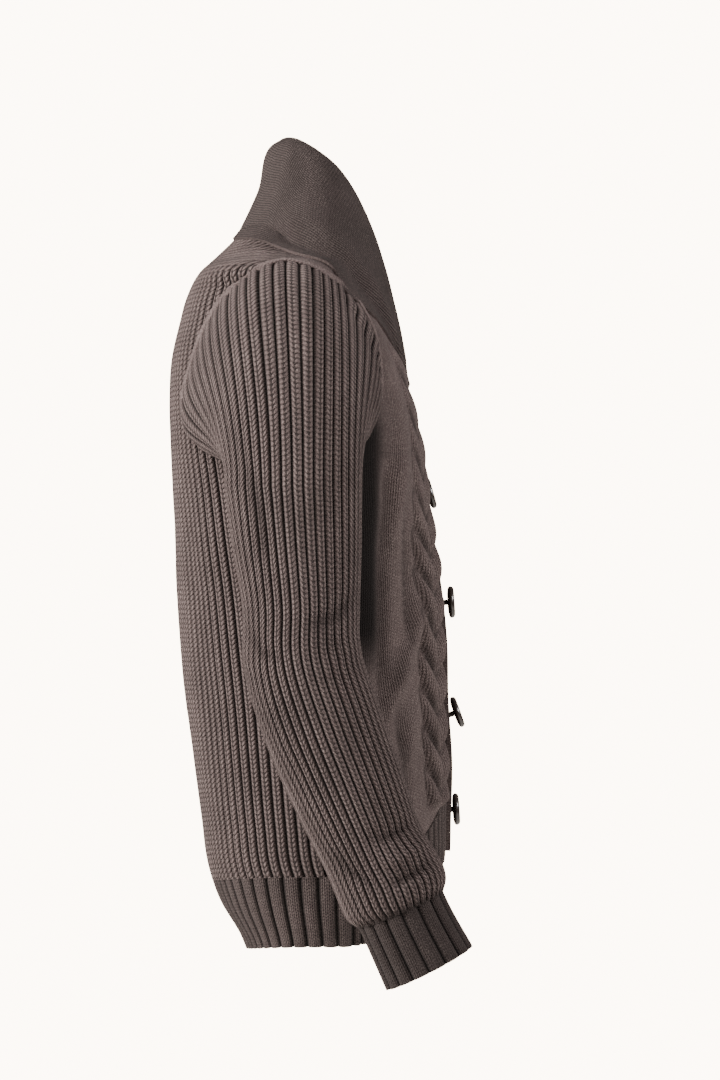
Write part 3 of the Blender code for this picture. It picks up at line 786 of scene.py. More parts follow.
def cloth_wall(
    name, grid, normals, thickness, ribs, courses, closed=False, outer_lift=0.0, hollow=0.0, relief=1.0
):
    """A closed wall round a grid, with its rib and course counts as UV map and point attributes.

    The outer skin is raised by outer_lift. The attribute out is the way that ribs are raised, as long as the
    relief there, and the painted shade attribute is how dark painted shade makes each place, from 0 to 1.
    """
    rows, columns = grid.shape[:2]
    quad_r, quad_c, quad_skin = wall_quads(rows, columns, closed)
    lift = np.broadcast_to(outer_lift, (rows, columns))[..., None]
    half = np.broadcast_to(np.asarray(thickness, float) / 2, (rows, columns))[..., None]
    outer = grid + normals * (half + lift)
    inner = grid - normals * half
    points = np.concatenate([outer.reshape(-1, 3), inner.reshape(-1, 3)])
    corners = quad_skin * rows * columns + quad_r * columns + quad_c % columns
    a, b, c, d = (points[corners[:, k]] for k in range(4))
    volume = np.sum(a * (np.cross(b, c) + np.cross(c, d)))
    if volume < 0:
        corners, quad_r, quad_c = corners[:, ::-1], quad_r[:, ::-1], quad_c[:, ::-1]
    mesh = bpy.data.meshes.new(name)
    mesh.vertices.add(len(points))
    mesh.vertices.foreach_set("co", points.ravel())
    mesh.loops.add(corners.size)
    mesh.loops.foreach_set("vertex_index", corners.ravel())
    mesh.polygons.add(len(corners))
    mesh.polygons.foreach_set("loop_start", np.arange(0, corners.size, 4))
    if closed:
        ribs = np.concatenate([ribs, 2 * ribs[:, -1:] - ribs[:, -2:-1]], axis=1)
        courses = np.concatenate([courses, courses[:, :1]], axis=1)
    uv = mesh.uv_layers.new(name="knit")
    pairs = np.stack([ribs[quad_r, quad_c], courses[quad_r, quad_c]], axis=-1)
    uv.data.foreach_set("uv", pairs.astype(np.float32).ravel())
    raised = (normals * np.broadcast_to(relief, (rows, columns))[..., None]).reshape(-1, 3)
    store(mesh, "out", "FLOAT_VECTOR", np.concatenate([raised, 0.5 * raised]))
    store(mesh, "ribs", "FLOAT", np.tile(ribs[:, :columns].ravel(), 2))
    # Painted shade goes on the outer skin only. It stands in for shade in grooves, creases and gaps.
    painted_shades = np.zeros((2, rows, columns))
    painted_shades[0] = hollow
    store(mesh, "hollow", "FLOAT", painted_shades)
    mesh.update(calc_edges=True)
    mesh.validate()
    work = bmesh.new()
    work.from_mesh(mesh)
    bmesh.ops.remove_doubles(work, verts=work.verts, dist=WELD_DISTANCE)
    work.to_mesh(mesh)
    work.free()
    mesh.shade_smooth()
    return link_object(name, mesh)


# ---------------------------------------------------------------------------------------------
# Node trees.


def feed(tree, socket, value):
    """Links a socket to another one, or gives it a value."""
    if isinstance(value, bpy.types.NodeSocket):
        tree.links.new(value, socket)
    else:
        socket.default_value = value


def add_node(tree, kind, inputs, **settings):
    """A node with these settings, whose named inputs are sockets or values."""
    node = tree.nodes.new(kind)
    for name, value in settings.items():
        setattr(node, name, value)
    for label, value in inputs.items():
        feed(tree, node.inputs[label], value)
    return node


def math_node(tree, operation, *values):
    """A maths node whose inputs are sockets or numbers, giving its output socket."""
    node = tree.nodes.new("ShaderNodeMath")
    node.operation = operation
    for socket, value in zip(node.inputs, values):
        feed(tree, socket, value)
    return node.outputs[0]


def new_group(name, kind, inputs, outputs):
    """A node group with the named sockets, the values given to it and the sockets of its result."""
    group = bpy.data.node_groups.new(name, kind)
    for label, socket_kind, default in inputs:
        socket = group.interface.new_socket(name=label, in_out="INPUT", socket_type=socket_kind)
        if default is not None:
            socket.default_value = default
    for label, socket_kind in outputs:
        group.interface.new_socket(name=label, in_out="OUTPUT", socket_type=socket_kind)
    return group, group.nodes.new("NodeGroupInput").outputs, group.nodes.new("NodeGroupOutput").inputs


def new_tree(name, sizes):
    """A geometry tree that takes a geometry, these sizes and a material."""
    geometry = ("Geometry", "NodeSocketGeometry")
    return new_group(
        name,
        "GeometryNodeTree",
        ((*geometry, None), *sizes, ("Material", "NodeSocketMaterial", None)),
        (geometry,),
    )


def finish_tree(tree, geometry, given, result):
    """Makes the instances real, gives them the material and sends them out."""
    real = add_node(tree, "GeometryNodeRealizeInstances", {"Geometry": geometry})
    painted = add_node(
        tree,
        "GeometryNodeSetMaterial",
        {"Geometry": real.outputs["Geometry"], "Material": given["Material"]},
    )
    feed(tree, result["Geometry"], painted.outputs["Geometry"])


def named_attribute(tree, name, kind):
    node = add_node(tree, "GeometryNodeInputNamedAttribute", {"Name": name}, data_type=kind)
    return node.outputs["Attribute"]


def rib_relief_tree():
    """Raises rounded ribs on a wall, from its rib counts: a ridge in each count and a groove between."""
    sizes = (("Depth", "NodeSocketFloat", 0.003), ("Roundness", "NodeSocketFloat", 0.8))
    tree, given, result = new_tree("rib_relief", sizes)
    turn = math_node(tree, "MULTIPLY", named_attribute(tree, "ribs", "FLOAT"), math.pi)
    crest = math_node(tree, "ABSOLUTE", math_node(tree, "SINE", turn))
    shaped = math_node(tree, "POWER", crest, given["Roundness"])
    amount = math_node(tree, "MULTIPLY", math_node(tree, "SUBTRACT", shaped, RIB_SUNK_SHARE), given["Depth"])
    offset = add_node(
        tree,
        "ShaderNodeVectorMath",
        {"Vector": named_attribute(tree, "out", "FLOAT_VECTOR"), "Scale": amount},
        operation="SCALE",
    )
    moved = add_node(
        tree,
        "GeometryNodeSetPosition",
        {"Geometry": given["Geometry"], "Offset": offset.outputs["Vector"]},
    )
    finish_tree(tree, moved.outputs["Geometry"], given, result)
    return tree


def seam_ridge_tree():
    """A round ridge along a path."""
    sizes = (("Radius", "NodeSocketFloat", 0.002), ("Sides", "NodeSocketInt", 8))
    tree, given, result = new_tree("seam_ridge", sizes)
    path = add_node(tree, "GeometryNodeMeshToCurve", {"Mesh": given["Geometry"]})
    ring = add_node(
        tree,
        "GeometryNodeCurvePrimitiveCircle",
        {"Resolution": given["Sides"], "Radius": given["Radius"]},
    )
    sweep = add_node(
        tree,
        "GeometryNodeCurveToMesh",
        {"Curve": path.outputs["Curve"], "Profile Curve": ring.outputs["Curve"], "Fill Caps": True},
    )
    smooth = add_node(tree, "GeometryNodeSetShadeSmooth", {"Geometry": sweep.outputs["Mesh"]})
    finish_tree(tree, smooth.outputs["Geometry"], given, result)
    return tree


def stitch_run_tree():
    """Plump stitches along a path, lying on the cloth and turned off the path's direction."""
    sizes = (
        ("Pitch", "NodeSocketFloat", 0.004),
        ("Length", "NodeSocketFloat", 0.0052),
        ("Width", "NodeSocketFloat", 0.0024),
        ("Turn", "NodeSocketFloat", 0.5),
    )
    tree, given, result = new_tree("stitch_run", sizes)
    path = add_node(tree, "GeometryNodeMeshToCurve", {"Mesh": given["Geometry"]})
    points = add_node(
        tree,
        "GeometryNodeCurveToPoints",
        {"Curve": path.outputs["Curve"], "Length": given["Pitch"]},
        mode="LENGTH",
    )
    bead = add_node(tree, "GeometryNodeMeshIcoSphere", {"Radius": 0.5, "Subdivisions": 2})
    lie = add_node(
        tree,
        "FunctionNodeAlignRotationToVector",
        {"Vector": named_attribute(tree, "out", "FLOAT_VECTOR")},
        axis="Z",
    )
    point_along = add_node(
        tree,
        "FunctionNodeAlignRotationToVector",
        {"Rotation": lie.outputs["Rotation"], "Vector": points.outputs["Tangent"]},
        axis="X",
        pivot_axis="Z",
    )
    spin = add_node(tree, "ShaderNodeCombineXYZ", {"Z": given["Turn"]})
    as_rotation = add_node(tree, "FunctionNodeEulerToRotation", {"Euler": spin.outputs["Vector"]})
    turn = add_node(
        tree,
        "FunctionNodeRotateRotation",
        {"Rotation": point_along.outputs["Rotation"], "Rotate By": as_rotation.outputs["Rotation"]},
        rotation_space="LOCAL",
    )
    size = add_node(
        tree,
        "ShaderNodeCombineXYZ",
        {"X": given["Length"], "Y": given["Width"], "Z": given["Width"]},
    )
    copies = add_node(
        tree,
        "GeometryNodeInstanceOnPoints",
        {
            "Points": points.outputs["Points"],
            "Instance": bead.outputs["Mesh"],
            "Rotation": turn.outputs["Rotation"],
            "Scale": size.outputs["Vector"],
        },
    )
    smooth = add_node(tree, "GeometryNodeSetShadeSmooth", {"Geometry": copies.outputs["Instances"]})
    finish_tree(tree, smooth.outputs["Geometry"], given, result)
    return tree


TREE_MAKERS = {"rib_relief": rib_relief_tree, "seam_ridge": seam_ridge_tree, "stitch_run": stitch_run_tree}


def run_tree(piece, tree_name, **values):
    """Puts a piece through a geometry tree and keeps the result as its plain mesh."""
    tree = bpy.data.node_groups.get(tree_name) or TREE_MAKERS[tree_name]()
    modifier = piece.modifiers.new(tree_name, "NODES")
    modifier.node_group = tree
    for socket in tree.interface.items_tree:
        label = socket.name.lower()
        if socket.in_out == "INPUT" and label in values:
            modifier[socket.identifier] = values[label]
    keep_result(piece)


def keep_result(piece):
    """Replaces a piece's mesh with what its modifiers make of it, and removes them."""
    graph = bpy.context.evaluated_depsgraph_get()
    mesh = bpy.data.meshes.new_from_object(piece.evaluated_get(graph), depsgraph=graph)
    piece.modifiers.clear()
    mesh.name = piece.name
    piece.data = mesh


def link_object(name, data):
    piece = bpy.data.objects.new(name, data)
    bpy.context.scene.collection.objects.link(piece)
    return piece


def path_object(name, points, outs=None, closed=False):
    """A line of edges for the trees that follow a path."""
    count = len(points)
    mesh = bpy.data.meshes.new(name)
    edges = [(k, k + 1) for k in range(count - 1)] + ([(count - 1, 0)] if closed else [])
    mesh.from_pydata([tuple(point) for point in points], edges, [])
    if outs is not None:
        store(mesh, "out", "FLOAT_VECTOR", outs)
    return link_object(name, mesh)


# ---------------------------------------------------------------------------------------------
# Materials.

# Columns: wales in a rib count, slant of the stitches, their depth, width and raggedness of the groove
# between ribs, depth of the ribs, the painted shade in the groove, tone of the yarn, lower in the fine and
# wide ribs as painted shade on the same yarn, and the painted shade in the gaps between stitches.
KNITS = {
    "wool_chunky_rib": (1.0, 1.5, 0.0034, 0.64, 0.26, 0.0010, 1.0, 0.98, 1.0),
    "wool_plain_knit": (1.0, 1.2, 0.0009, 0.05, 0.0, 0.0, 0.0, 0.92, 0.6),
    "wool_wide_rib": (4.0, 1.1, 0.0012, 0.80, 0.06, 0.0014, 1.0, 0.61, 1.0),
    "wool_fine_rib": (1.0, 0.8, 0.0007, 0.92, 0.10, 0.0015, 0.90, 0.64, 1.0),
}


def ramp_node(group, value, start, end, low=0.0, high=1.0, smooth=False):
    """A value mapped from start and end to low and high, as an output socket."""
    ends = {"Value": value, "From Min": start, "From Max": end, "To Min": low, "To Max": high}
    kind = "SMOOTHSTEP" if smooth else "LINEAR"
    return add_node(group, "ShaderNodeMapRange", ends, interpolation_type=kind).outputs["Result"]


def colour_mix(tree, share, first, second):
    """Two colours mixed by a share, as an output socket."""
    mix = add_node(tree, "ShaderNodeMix", {"Factor": share, "A": first, "B": second}, data_type="RGBA")
    return mix.outputs["Result"]


def stitch_group():
    """Plain stitches on a count of wales and courses: each is a V of two plump legs."""
    group, given, result = new_group(
        "knit_stitches",
        "ShaderNodeTree",
        (
            ("Vector", "NodeSocketVector", None),
            ("Wales", "NodeSocketFloat", 1.0),
            ("Slant", "NodeSocketFloat", 1.4),
        ),
        (("Height", "NodeSocketFloat"), ("Gap", "NodeSocketFloat")),
    )
    split = add_node(group, "ShaderNodeSeparateXYZ", {"Vector": given["Vector"]})
    wale = math_node(group, "FRACT", math_node(group, "MULTIPLY", split.outputs["X"], given["Wales"]))
    side = math_node(group, "ABSOLUTE", math_node(group, "SUBTRACT", wale, 0.5))
    lean = math_node(group, "MULTIPLY", side, given["Slant"])
    course = math_node(group, "FRACT", math_node(group, "SUBTRACT", split.outputs["Y"], lean))
    across = math_node(group, "MULTIPLY", math_node(group, "SUBTRACT", side, 0.25), 4.0)
    along = math_node(group, "MULTIPLY", math_node(group, "SUBTRACT", course, 0.5), 2.0)
    leg = math_node(group, "SUBTRACT", 1.0, math_node(group, "MULTIPLY", across, across))
    end = math_node(group, "MULTIPLY", math_node(group, "MULTIPLY", along, along), 0.85)
    round_part = math_node(group, "MAXIMUM", math_node(group, "SUBTRACT", leg, end), 0.0)
    height = math_node(group, "SQRT", round_part)
    feed(group, result["Height"], height)
    # The gap between the legs is where the wool gets painted shade.
    feed(group, result["Gap"], ramp_node(group, height, 0.0, 0.70, low=1.0, high=0.0, smooth=True))
    return group


def rib_group():
    """The shape of a rib across its count: its ridge, and a mask of the groove beside it."""
    group, given, result = new_group(
        "rib_shape",
        "ShaderNodeTree",
        (
            ("Vector", "NodeSocketVector", None),
            ("Groove", "NodeSocketFloat", 0.3),
            ("Ragged", "NodeSocketFloat", 0.1),
        ),
        (("Ridge", "NodeSocketFloat"), ("Groove", "NodeSocketFloat")),
    )
    split = add_node(group, "ShaderNodeSeparateXYZ", {"Vector": given["Vector"]})
    turn = math_node(group, "MULTIPLY", split.outputs["X"], math.pi)
    ridge = math_node(group, "ABSOLUTE", math_node(group, "SINE", turn))
    beat = math_node(group, "SINE", math_node(group, "MULTIPLY", split.outputs["Y"], 2 * math.pi))
    width = math_node(group, "ADD", given["Groove"], math_node(group, "MULTIPLY", beat, given["Ragged"]))
    feed(group, result["Ridge"], ridge)
    feed(group, result["Groove"], ramp_node(group, ridge, 0.0, width, low=1.0, high=0.0, smooth=True))
    return group


def tone_group():
    """Wool colour: flecks and soft patches over the yarn, with painted shade in gaps and grooves."""
    group, given, result = new_group(
        "wool_tone",
        "ShaderNodeTree",
        (
            ("Vector", "NodeSocketVector", None),
            ("Yarn", "NodeSocketColor", None),
            ("Shade", "NodeSocketColor", None),
            ("Fleck", "NodeSocketColor", None),
            ("Gap", "NodeSocketFloat", 0.0),
            ("Groove", "NodeSocketFloat", 0.0),
        ),
        (("Color", "NodeSocketColor"), ("Fuzz", "NodeSocketFloat")),
    )
    fibre, patch = (
        add_node(group, "ShaderNodeTexNoise", {"Vector": given["Vector"], "Scale": scale, "Detail": 4.0})
        for scale in (FIBRE_SCALE, PATCH_SCALE)
    )
    flecks = ramp_node(group, fibre.outputs["Fac"], *FLECK_RANGE)
    tide = ramp_node(group, patch.outputs["Fac"], *PATCH_RANGE, **PATCH_TONES)
    toned = add_node(
        group,
        "ShaderNodeVectorMath",
        {"Vector": colour_mix(group, flecks, given["Yarn"], given["Fleck"]), "Scale": tide},
        operation="SCALE",
    )
    # Painted shade between the stitches and in the grooves, mixed toward the shade colour.
    dark = math_node(group, "MULTIPLY", given["Gap"], STITCH_GAP_SHADE)
    darker = math_node(group, "MAXIMUM", dark, given["Groove"])
    feed(group, result["Color"], colour_mix(group, darker, toned.outputs["Vector"], given["Shade"]))
    feed(group, result["Fuzz"], fibre.outputs["Fac"])
    return group


GROUP_MAKERS = {"knit_stitches": stitch_group, "rib_shape": rib_group, "wool_tone": tone_group}


def place_group(tree, name, **values):
    """Places a shader group in a material's tree, with its values by the names of its sockets."""
    node = tree.nodes.new("ShaderNodeGroup")
    node.node_tree = bpy.data.node_groups.get(name) or GROUP_MAKERS[name]()
    for label, value in values.items():
        feed(tree, node.inputs[label.capitalize()], value)
    return node


def new_material(name):
    """A new material, its tree and its shader's inputs."""
    material = bpy.data.materials.new(name)
    material.use_nodes = True
    tree = material.node_tree
    return material, tree, tree.nodes["Principled BSDF"].inputs


def place_on_piece(tree):
    return tree.nodes.new("ShaderNodeTexCoord").outputs["Object"]


def place_wool(tree, shader, tone, **values):
    """Gives a shader the wool's finish and its colour, made lighter or darker by a tone, and darkened with
    painted shade where the values say.
    """
    yarn = bpy.context.scene.cardigan_yarn
    shader["Roughness"].default_value = 0.95
    shader["Specular IOR Level"].default_value = 0.18
    shader["Sheen Weight"].default_value = yarn.sheen
    wool = place_group(
        tree,
        "wool_tone",
        vector=place_on_piece(tree),
        yarn=(*(tone * part for part in yarn.colour), 1.0),
        shade=(*yarn.shade, 1.0),
        fleck=(*(tone * part for part in yarn.fleck), 1.0),
        **values,
    )
    feed(tree, shader["Base Color"], wool.outputs["Color"])
    return wool


def knitted_wool(name):
    """Knitted wool on the piece's own rib and course counts."""
    wales, slant, stitch_depth, groove, ragged, rib_depth, rib_shade, tone, gaps = KNITS[name]
    material, tree, shader = new_material(name)
    shader["Sheen Roughness"].default_value = 0.6
    shader["Sheen Tint"].default_value = (0.62, 0.54, 0.50, 1.0)
    counts = add_node(tree, "ShaderNodeUVMap", {}, uv_map="knit").outputs["UV"]
    stitches = place_group(tree, "knit_stitches", vector=counts, wales=wales, slant=slant)
    ribs = place_group(tree, "rib_shape", vector=counts, groove=groove, ragged=ragged)
    # Painted shade stored on the piece darkens it like a rib's groove.
    painted_shade_stored = add_node(tree, "ShaderNodeAttribute", {}, attribute_name="hollow").outputs["Fac"]
    # Painted shade in the rib's groove and in the gaps between stitches.
    painted_groove_shade = math_node(tree, "MULTIPLY", ribs.outputs["Groove"], rib_shade)
    gap = math_node(tree, "MULTIPLY", stitches.outputs["Gap"], gaps)
    wool = place_wool(tree, shader, tone, gap=gap, groove=math_node(tree, "MAXIMUM", painted_groove_shade, painted_shade_stored))
    raised = math_node(tree, "MULTIPLY", stitches.outputs["Height"], stitch_depth)
    fuzzed = math_node(tree, "MULTIPLY_ADD", wool.outputs["Fuzz"], FUZZ_DEPTH, raised)
    height = math_node(tree, "MULTIPLY_ADD", ribs.outputs["Ridge"], rib_depth, fuzzed)
    bump = add_node(tree, "ShaderNodeBump", {"Height": height, "Distance": 1.0, "Strength": 0.9})
    feed(tree, shader["Normal"], bump.outputs["Normal"])
    return material


def seam_wool(name):
    """Plain wool for seams and sewn edges."""
    material, tree, shader = new_material(name)
    wool = place_wool(tree, shader, SEAM_TONE)
    bump = add_node(tree, "ShaderNodeBump", {"Height": wool.outputs["Fuzz"], "Distance": FUZZ_DEPTH})
    feed(tree, shader["Normal"], bump.outputs["Normal"])
    return material


def polished_horn(name):
    """Dark horn with lighter streaks along its grain, polished unevenly."""
    look = bpy.context.scene.cardigan_buttons
    material, tree, shader = new_material(name)
    shader["Coat Weight"].default_value = 0.6
    shader["Coat Roughness"].default_value = 0.12
    stretch = add_node(
        tree,
        "ShaderNodeMapping",
        {"Vector": place_on_piece(tree), "Scale": (260.0, 260.0, 60.0)},
    )
    streak = add_node(
        tree,
        "ShaderNodeTexNoise",
        {"Vector": stretch.outputs["Vector"], "Scale": 1.0, "Detail": 5.0, "Distortion": 1.2},
    ).outputs["Fac"]
    veins = ramp_node(tree, streak, 0.52, 0.78)
    feed(tree, shader["Base Color"], colour_mix(tree, veins, (*look.horn, 1.0), (*look.vein, 1.0)))
    feed(tree, shader["Roughness"], ramp_node(tree, streak, 0.0, 1.0, low=0.22, high=0.42))
    return material


def sewing_thread(name):
    """Dark thread with a fine twist."""
    material, tree, shader = new_material(name)
    shader["Roughness"].default_value = 0.7
    twist = add_node(tree, "ShaderNodeTexNoise", {"Vector": place_on_piece(tree), "Scale": 1500.0})
    feed(tree, shader["Base Color"], colour_mix(tree, twist.outputs["Fac"], THREAD_DARK, THREAD_LIGHT))
    return material


MATERIAL_MAKERS = {
    **{name: knitted_wool for name in KNITS},
    "wool_seam": seam_wool,
    "polished_horn": polished_horn,
    "sewing_thread": sewing_thread,
}


def material_named(name):
    """The material of this name, made when it is first asked for."""
    return bpy.data.materials.get(name) or MATERIAL_MAKERS[name](name)


# ---------------------------------------------------------------------------------------------
# Pieces.

# The cut of each cloth piece: width, length and area, in metres and square metres.
CUTS = {
    "back": (0.610, 0.680, 0.3417),
    "front": (0.248, 0.670, 0.1056),
    "hem_back": (0.575, 0.083, 0.0394),
    "hem_front": (0.206, 0.071, 0.0129),
    "sleeve": (0.450, 0.660, 0.1948),
    "cuff": (0.258, 0.068, 0.0164),
    "collar": (0.232, 1.700, 0.1546),
}


def settle(piece, nodes, cut=None):
    """Attaches a finished piece to its body and hides the solids it stands for. Its cut is unpacked but not
    used.
    """
    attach(piece, "root")
    if nodes:
        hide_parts(*nodes)
    if cut:
        width, length, area = cut


def finish_wall(piece, slot, depth, roundness, nodes, cut_name):
    """Raises a wall's ribs in the wool of its slot, and settles it."""
    wool = material_named(f"wool_{slot}")
    run_tree(piece, "rib_relief", depth=depth, roundness=roundness, material=wool)
    piece.data.set_sharp_from_angle(angle=SHARP_ANGLE)
    settle(piece, nodes, CUTS[cut_name])


def panel_levels(runs):
    return np.concatenate([np.linspace(start, end, count) for start, end, count in runs])


def back_grid(levels, step, fitted=False):
    """Rows over the back in even steps from its centre, and their distance from the centre.

    The steps are cut off at the sides, or drawn together with the cloth where it is fitted.
    """
    rings = [half_ring(level) for level in levels]
    cuts = [side_cut(ring, 2) for ring in rings]
    steps = step * np.arange(int(max(cuts) / step) + 2)
    rows, distances = [], []
    for ring, cut in zip(rings, cuts):
        whole = max(cuts) if fitted else cut
        counted = np.minimum(steps, whole)
        half = at_distances(ring, counted * cut / whole)
        rows.append(np.concatenate([half[::-1], on_side(half[1:], -1.0)]))
        distances.append(np.concatenate([-counted[::-1], counted[1:]]))
    return np.array(rows), np.array(distances)


def front_grid(levels, near_step=FRONT_NEAR_STEP):
    """Rows from the side to the front edge, closest together beside the edge, and the distance to it."""
    rows, distances = [], []
    near_reach = near_step * FRONT_NEAR_COLUMNS
    for level in levels:
        ring = half_ring(level)
        cut, edge = side_cut(ring, 1), front_edge(ring)
        length = edge - cut
        shrink = min(1.0, MOST_NEAR_SHARE * length / near_reach)
        near = np.arange(FRONT_NEAR_COLUMNS + 1) * near_step * shrink
        far = np.linspace(near[-1], length, FRONT_FAR_COLUMNS + 1)[1:]
        from_edge = np.concatenate([near, far])[::-1]
        rows.append(at_distances(ring, edge - from_edge))
        distances.append(from_edge)
    return np.array(rows), np.array(distances)


def cable_shape(from_middle, height, knit):
    """Height of the stacked V strands beside the band, and the painted shade under its strands and in its
    grooves.
    """
    off = np.abs(from_middle - knit.cable_place)
    # The strands rise from the cable's middle to its sides, ever more steeply.
    rise = off * knit.cable_slope * (1.0 + off / knit.cable_half)
    phase = (height - rise) / knit.cable_pitch - knit.cable_start
    strand = np.abs(np.sin(math.pi * phase)) ** CABLE_ROUNDNESS
    # Each half of the V swells between the middle and the side, and a strand's crest reaches furthest out.
    swell = 1.0 - CABLE_SWELL + CABLE_SWELL * np.cos(2 * math.pi * (off / knit.cable_half - 0.5))
    reach = knit.cable_half * (1.0 - CABLE_SCALLOP + CABLE_SCALLOP * strand)
    inside = 1.0 - smooth_step(off, reach * CABLE_EDGE[0], reach * CABLE_EDGE[1])
    groove = np.exp(-(((off - reach * CABLE_GROOVE_PLACE) / CABLE_GROOVE_WIDTH) ** 2))
    middle = np.exp(-((off / CABLE_GROOVE_WIDTH) ** 2))
    raised = knit.cable_depth * (strand * swell - CABLE_MIDDLE_DEPTH * middle) * inside
    # The foot of each strand lies in the shade of the one over it.
    up_strand = phase - np.floor(phase)
    lit_above = smooth_step(up_strand, *CABLE_FOOT)
    lit_below = smooth_step(1.0 - up_strand, *CABLE_HEAD)
    beneath = 1.0 - np.minimum(lit_above, lit_below)
    # Painted shade under each strand, in the groove beside the cable and along its middle.
    hollow = np.maximum(CABLE_SHADE * beneath * inside, CABLE_SIDE_SHADE * groove)
    hollow = np.maximum(hollow, CABLE_MIDDLE_SHADE * middle * inside)
    ends = smooth_step(height, *CABLE_BOTTOM) * (1.0 - smooth_step(height, *CABLE_TOP))
    flatter = 1.0 - CABLE_CHEST_LOSS * smooth_step(height, *CABLE_CHEST)
    return (raised - CABLE_GROOVE_DEPTH * groove) * ends * flatter, hollow * ends


def under_arm_shade(grid):
    """Painted shade in the gap under the arm, from 0 to 1, at each place of the right front."""
    height = grid[..., 2]
    along = smooth_step(height, *UNDER_ARM_BOTTOM) * (1.0 - smooth_step(height, *UNDER_ARM_TOP))
    return smooth_step(grid[..., 1], *UNDER_ARM_BEHIND) * along


def sewn_flat(height, to_side):
    """How flat the back's ribs are pulled beside the armhole seam, from 0 to 1."""
    reach = SEWN_WIDTH + SEWN_SHOULDER_WIDTH * smooth_step(height, *SEWN_SHOULDER_HEIGHTS)
    beside = 1.0 - smooth_step(to_side / reach, SEWN_FLAT_SHARE, 1.0)
    return beside * smooth_step(height, *SEWN_HEIGHTS)


def armhole_loop(columns, crowding=0.0):
    """Edge of the right armhole, from the shoulder tip down the front and up the back.

    Its points are crowded towards the tip.
    """
    turn = np.linspace(0.0, math.pi, ARMHOLE_LEVELS)
    levels = UNDERARM_HEIGHT + (SHOULDER_TIP_HEIGHT - UNDERARM_HEIGHT) * 0.5 * (1 + np.cos(turn))
    sides = {1: [], 2: []}
    for level in levels:
        ring = half_ring(level)
        for column, points in sides.items():
            points.append(at_distances(ring, [side_cut(ring, column)])[0])
    loop = np.array(sides[1] + sides[2][-2::-1])
    turn = np.linspace(0.0, 2 * math.pi, columns + 1)
    shares = (turn - crowding * np.sin(turn)) / (2 * math.pi)
    even = at_distances(loop, shares * lengths_along(loop)[-1])[:-1]
    for _ in range(ARMHOLE_SMOOTHINGS):
        even = 0.25 * np.roll(even, 1, axis=0) + 0.5 * even + 0.25 * np.roll(even, -1, axis=0)
    return even


def tube_rings(rows, angles):
    """Sections of a sleeve or cuff: angle 0 is the outer side, a quarter turn on is the front."""
    x, y, z, depth, breadth, lean = (rows[:, k][:, None] for k in range(6))
    lean = np.radians(lean)
    forward = depth / 2 * np.sin(angles)
    outward = breadth / 2 * np.cos(angles)
    return np.stack([-x - outward, y - np.cos(lean) * forward, z + np.sin(lean) * forward], axis=-1)


def outward_normals(rings):
    """Unit normals of a tube, turned away from its middle."""
    normals = grid_normals(rings, closed=True)
    middle = len(rings) // 2
    away = rings[middle] - rings[middle].mean(axis=0)
    return normals * np.sign(np.sum(normals[middle] * away))


def swing_back(rows, swing):
    """Moves sleeve rows back below the elbow, for the arm that hangs straighter."""
    rows = rows.copy()
    share = smooth_step(-rows[:, 2], *SWING_FROM)
    rows[:, 1] += swing * share
    rows[:, 5] -= SWING_LEAN * share * (swing > 0)
    return rows


def arm_rows(rows, count, swing):
    """A sleeve's or a cuff's rows, read evenly and swung back."""
    return swing_back(by_index(rows, count), swing)


def sleeve_cap(loop, angles, first_ring):
    """Rings from the armhole to the first full section, each rib on a smooth curve."""
    normal = body_normal(loop)
    under = 1.0 - smooth_step(loop[:, 2], *UNDERARM_SIDE)
    start = loop + normal * (under * BESIDE_BODY)[:, None]
    pull = np.linalg.norm(first_ring - start, axis=1)[:, None] * CAP_PULL
    outward = CAP_OUTWARD[0] + CAP_OUTWARD[1] * np.cos(angles)
    downward = CAP_DOWNWARD[0] - CAP_DOWNWARD[1] * np.cos(angles)
    leave = unit(np.stack([-outward, -CAP_FORWARD * np.sin(angles), -downward], axis=1)) * pull
    arrive = np.array([0.0, 0.0, -1.0]) * pull
    rings = [start]
    for share in np.linspace(0.0, 1.0, CAP_ROW_COUNT + 1)[1:-1]:
        ring = (
            (2 * share**3 - 3 * share**2 + 1) * start
            + (share**3 - 2 * share**2 + share) * leave
            + (3 * share**2 - 2 * share**3) * first_ring
            + (share**3 - share**2) * arrive
        )
        clear = BESIDE_BODY * np.maximum(under, smooth_step(share, 0.0, CAP_CLEAR_SHARE))
        rings.append(lift_off_body(ring, clear))
    return np.array(rings)


def collar_line(row):
    """A smooth line over one section of the collar, from its neck seam over the roll to its free edge."""
    seam, roll, free = (on_side(row[k : k + 3], -1.0) for k in (0, 3, 6))
    rise, fall = roll - seam, free - roll
    away = unit(fall - rise * np.dot(fall, rise) / np.dot(rise, rise))
    fold = min(COLLAR_FOLD[0], COLLAR_FOLD[1] * np.linalg.norm(fall))
    stand = [seam + share * rise - away * bow * fold for share, bow in STAND_BOW]
    # The fall turns down a fold's width past the roll.
    turned = roll + away * fold - unit(rise) * fold * ROLL_DROP
    controls = np.array([seam, *stand, roll, turned, roll + 0.50 * fall, free])
    return SmoothTable(np.column_stack([lengths_along(controls), controls]))


def laid_on_body(points, past_roll):
    """Lifts the collar's fall clear of the body, and lays its outer part close on it."""
    low = points[:, 2] < SHOULDER_NECK_HEIGHT
    falling = (past_roll > 0) & low
    clear = FALL_CLEARANCE * smooth_step(past_roll, *FALL_CLEARS) * falling
    placed = np.where(falling[:, None], lift_off_body(points, clear), points)
    lying = smooth_step(past_roll, *FALL_LIES) * (placed[:, 2] < SHOULDER_NECK_HEIGHT)
    behind = smooth_step(placed[:, 1], *FALL_BEHIND)
    close = FALL_ON_FRONT + (FALL_CLEARANCE - FALL_ON_FRONT) * behind
    return press_to_body(placed, close, lying)


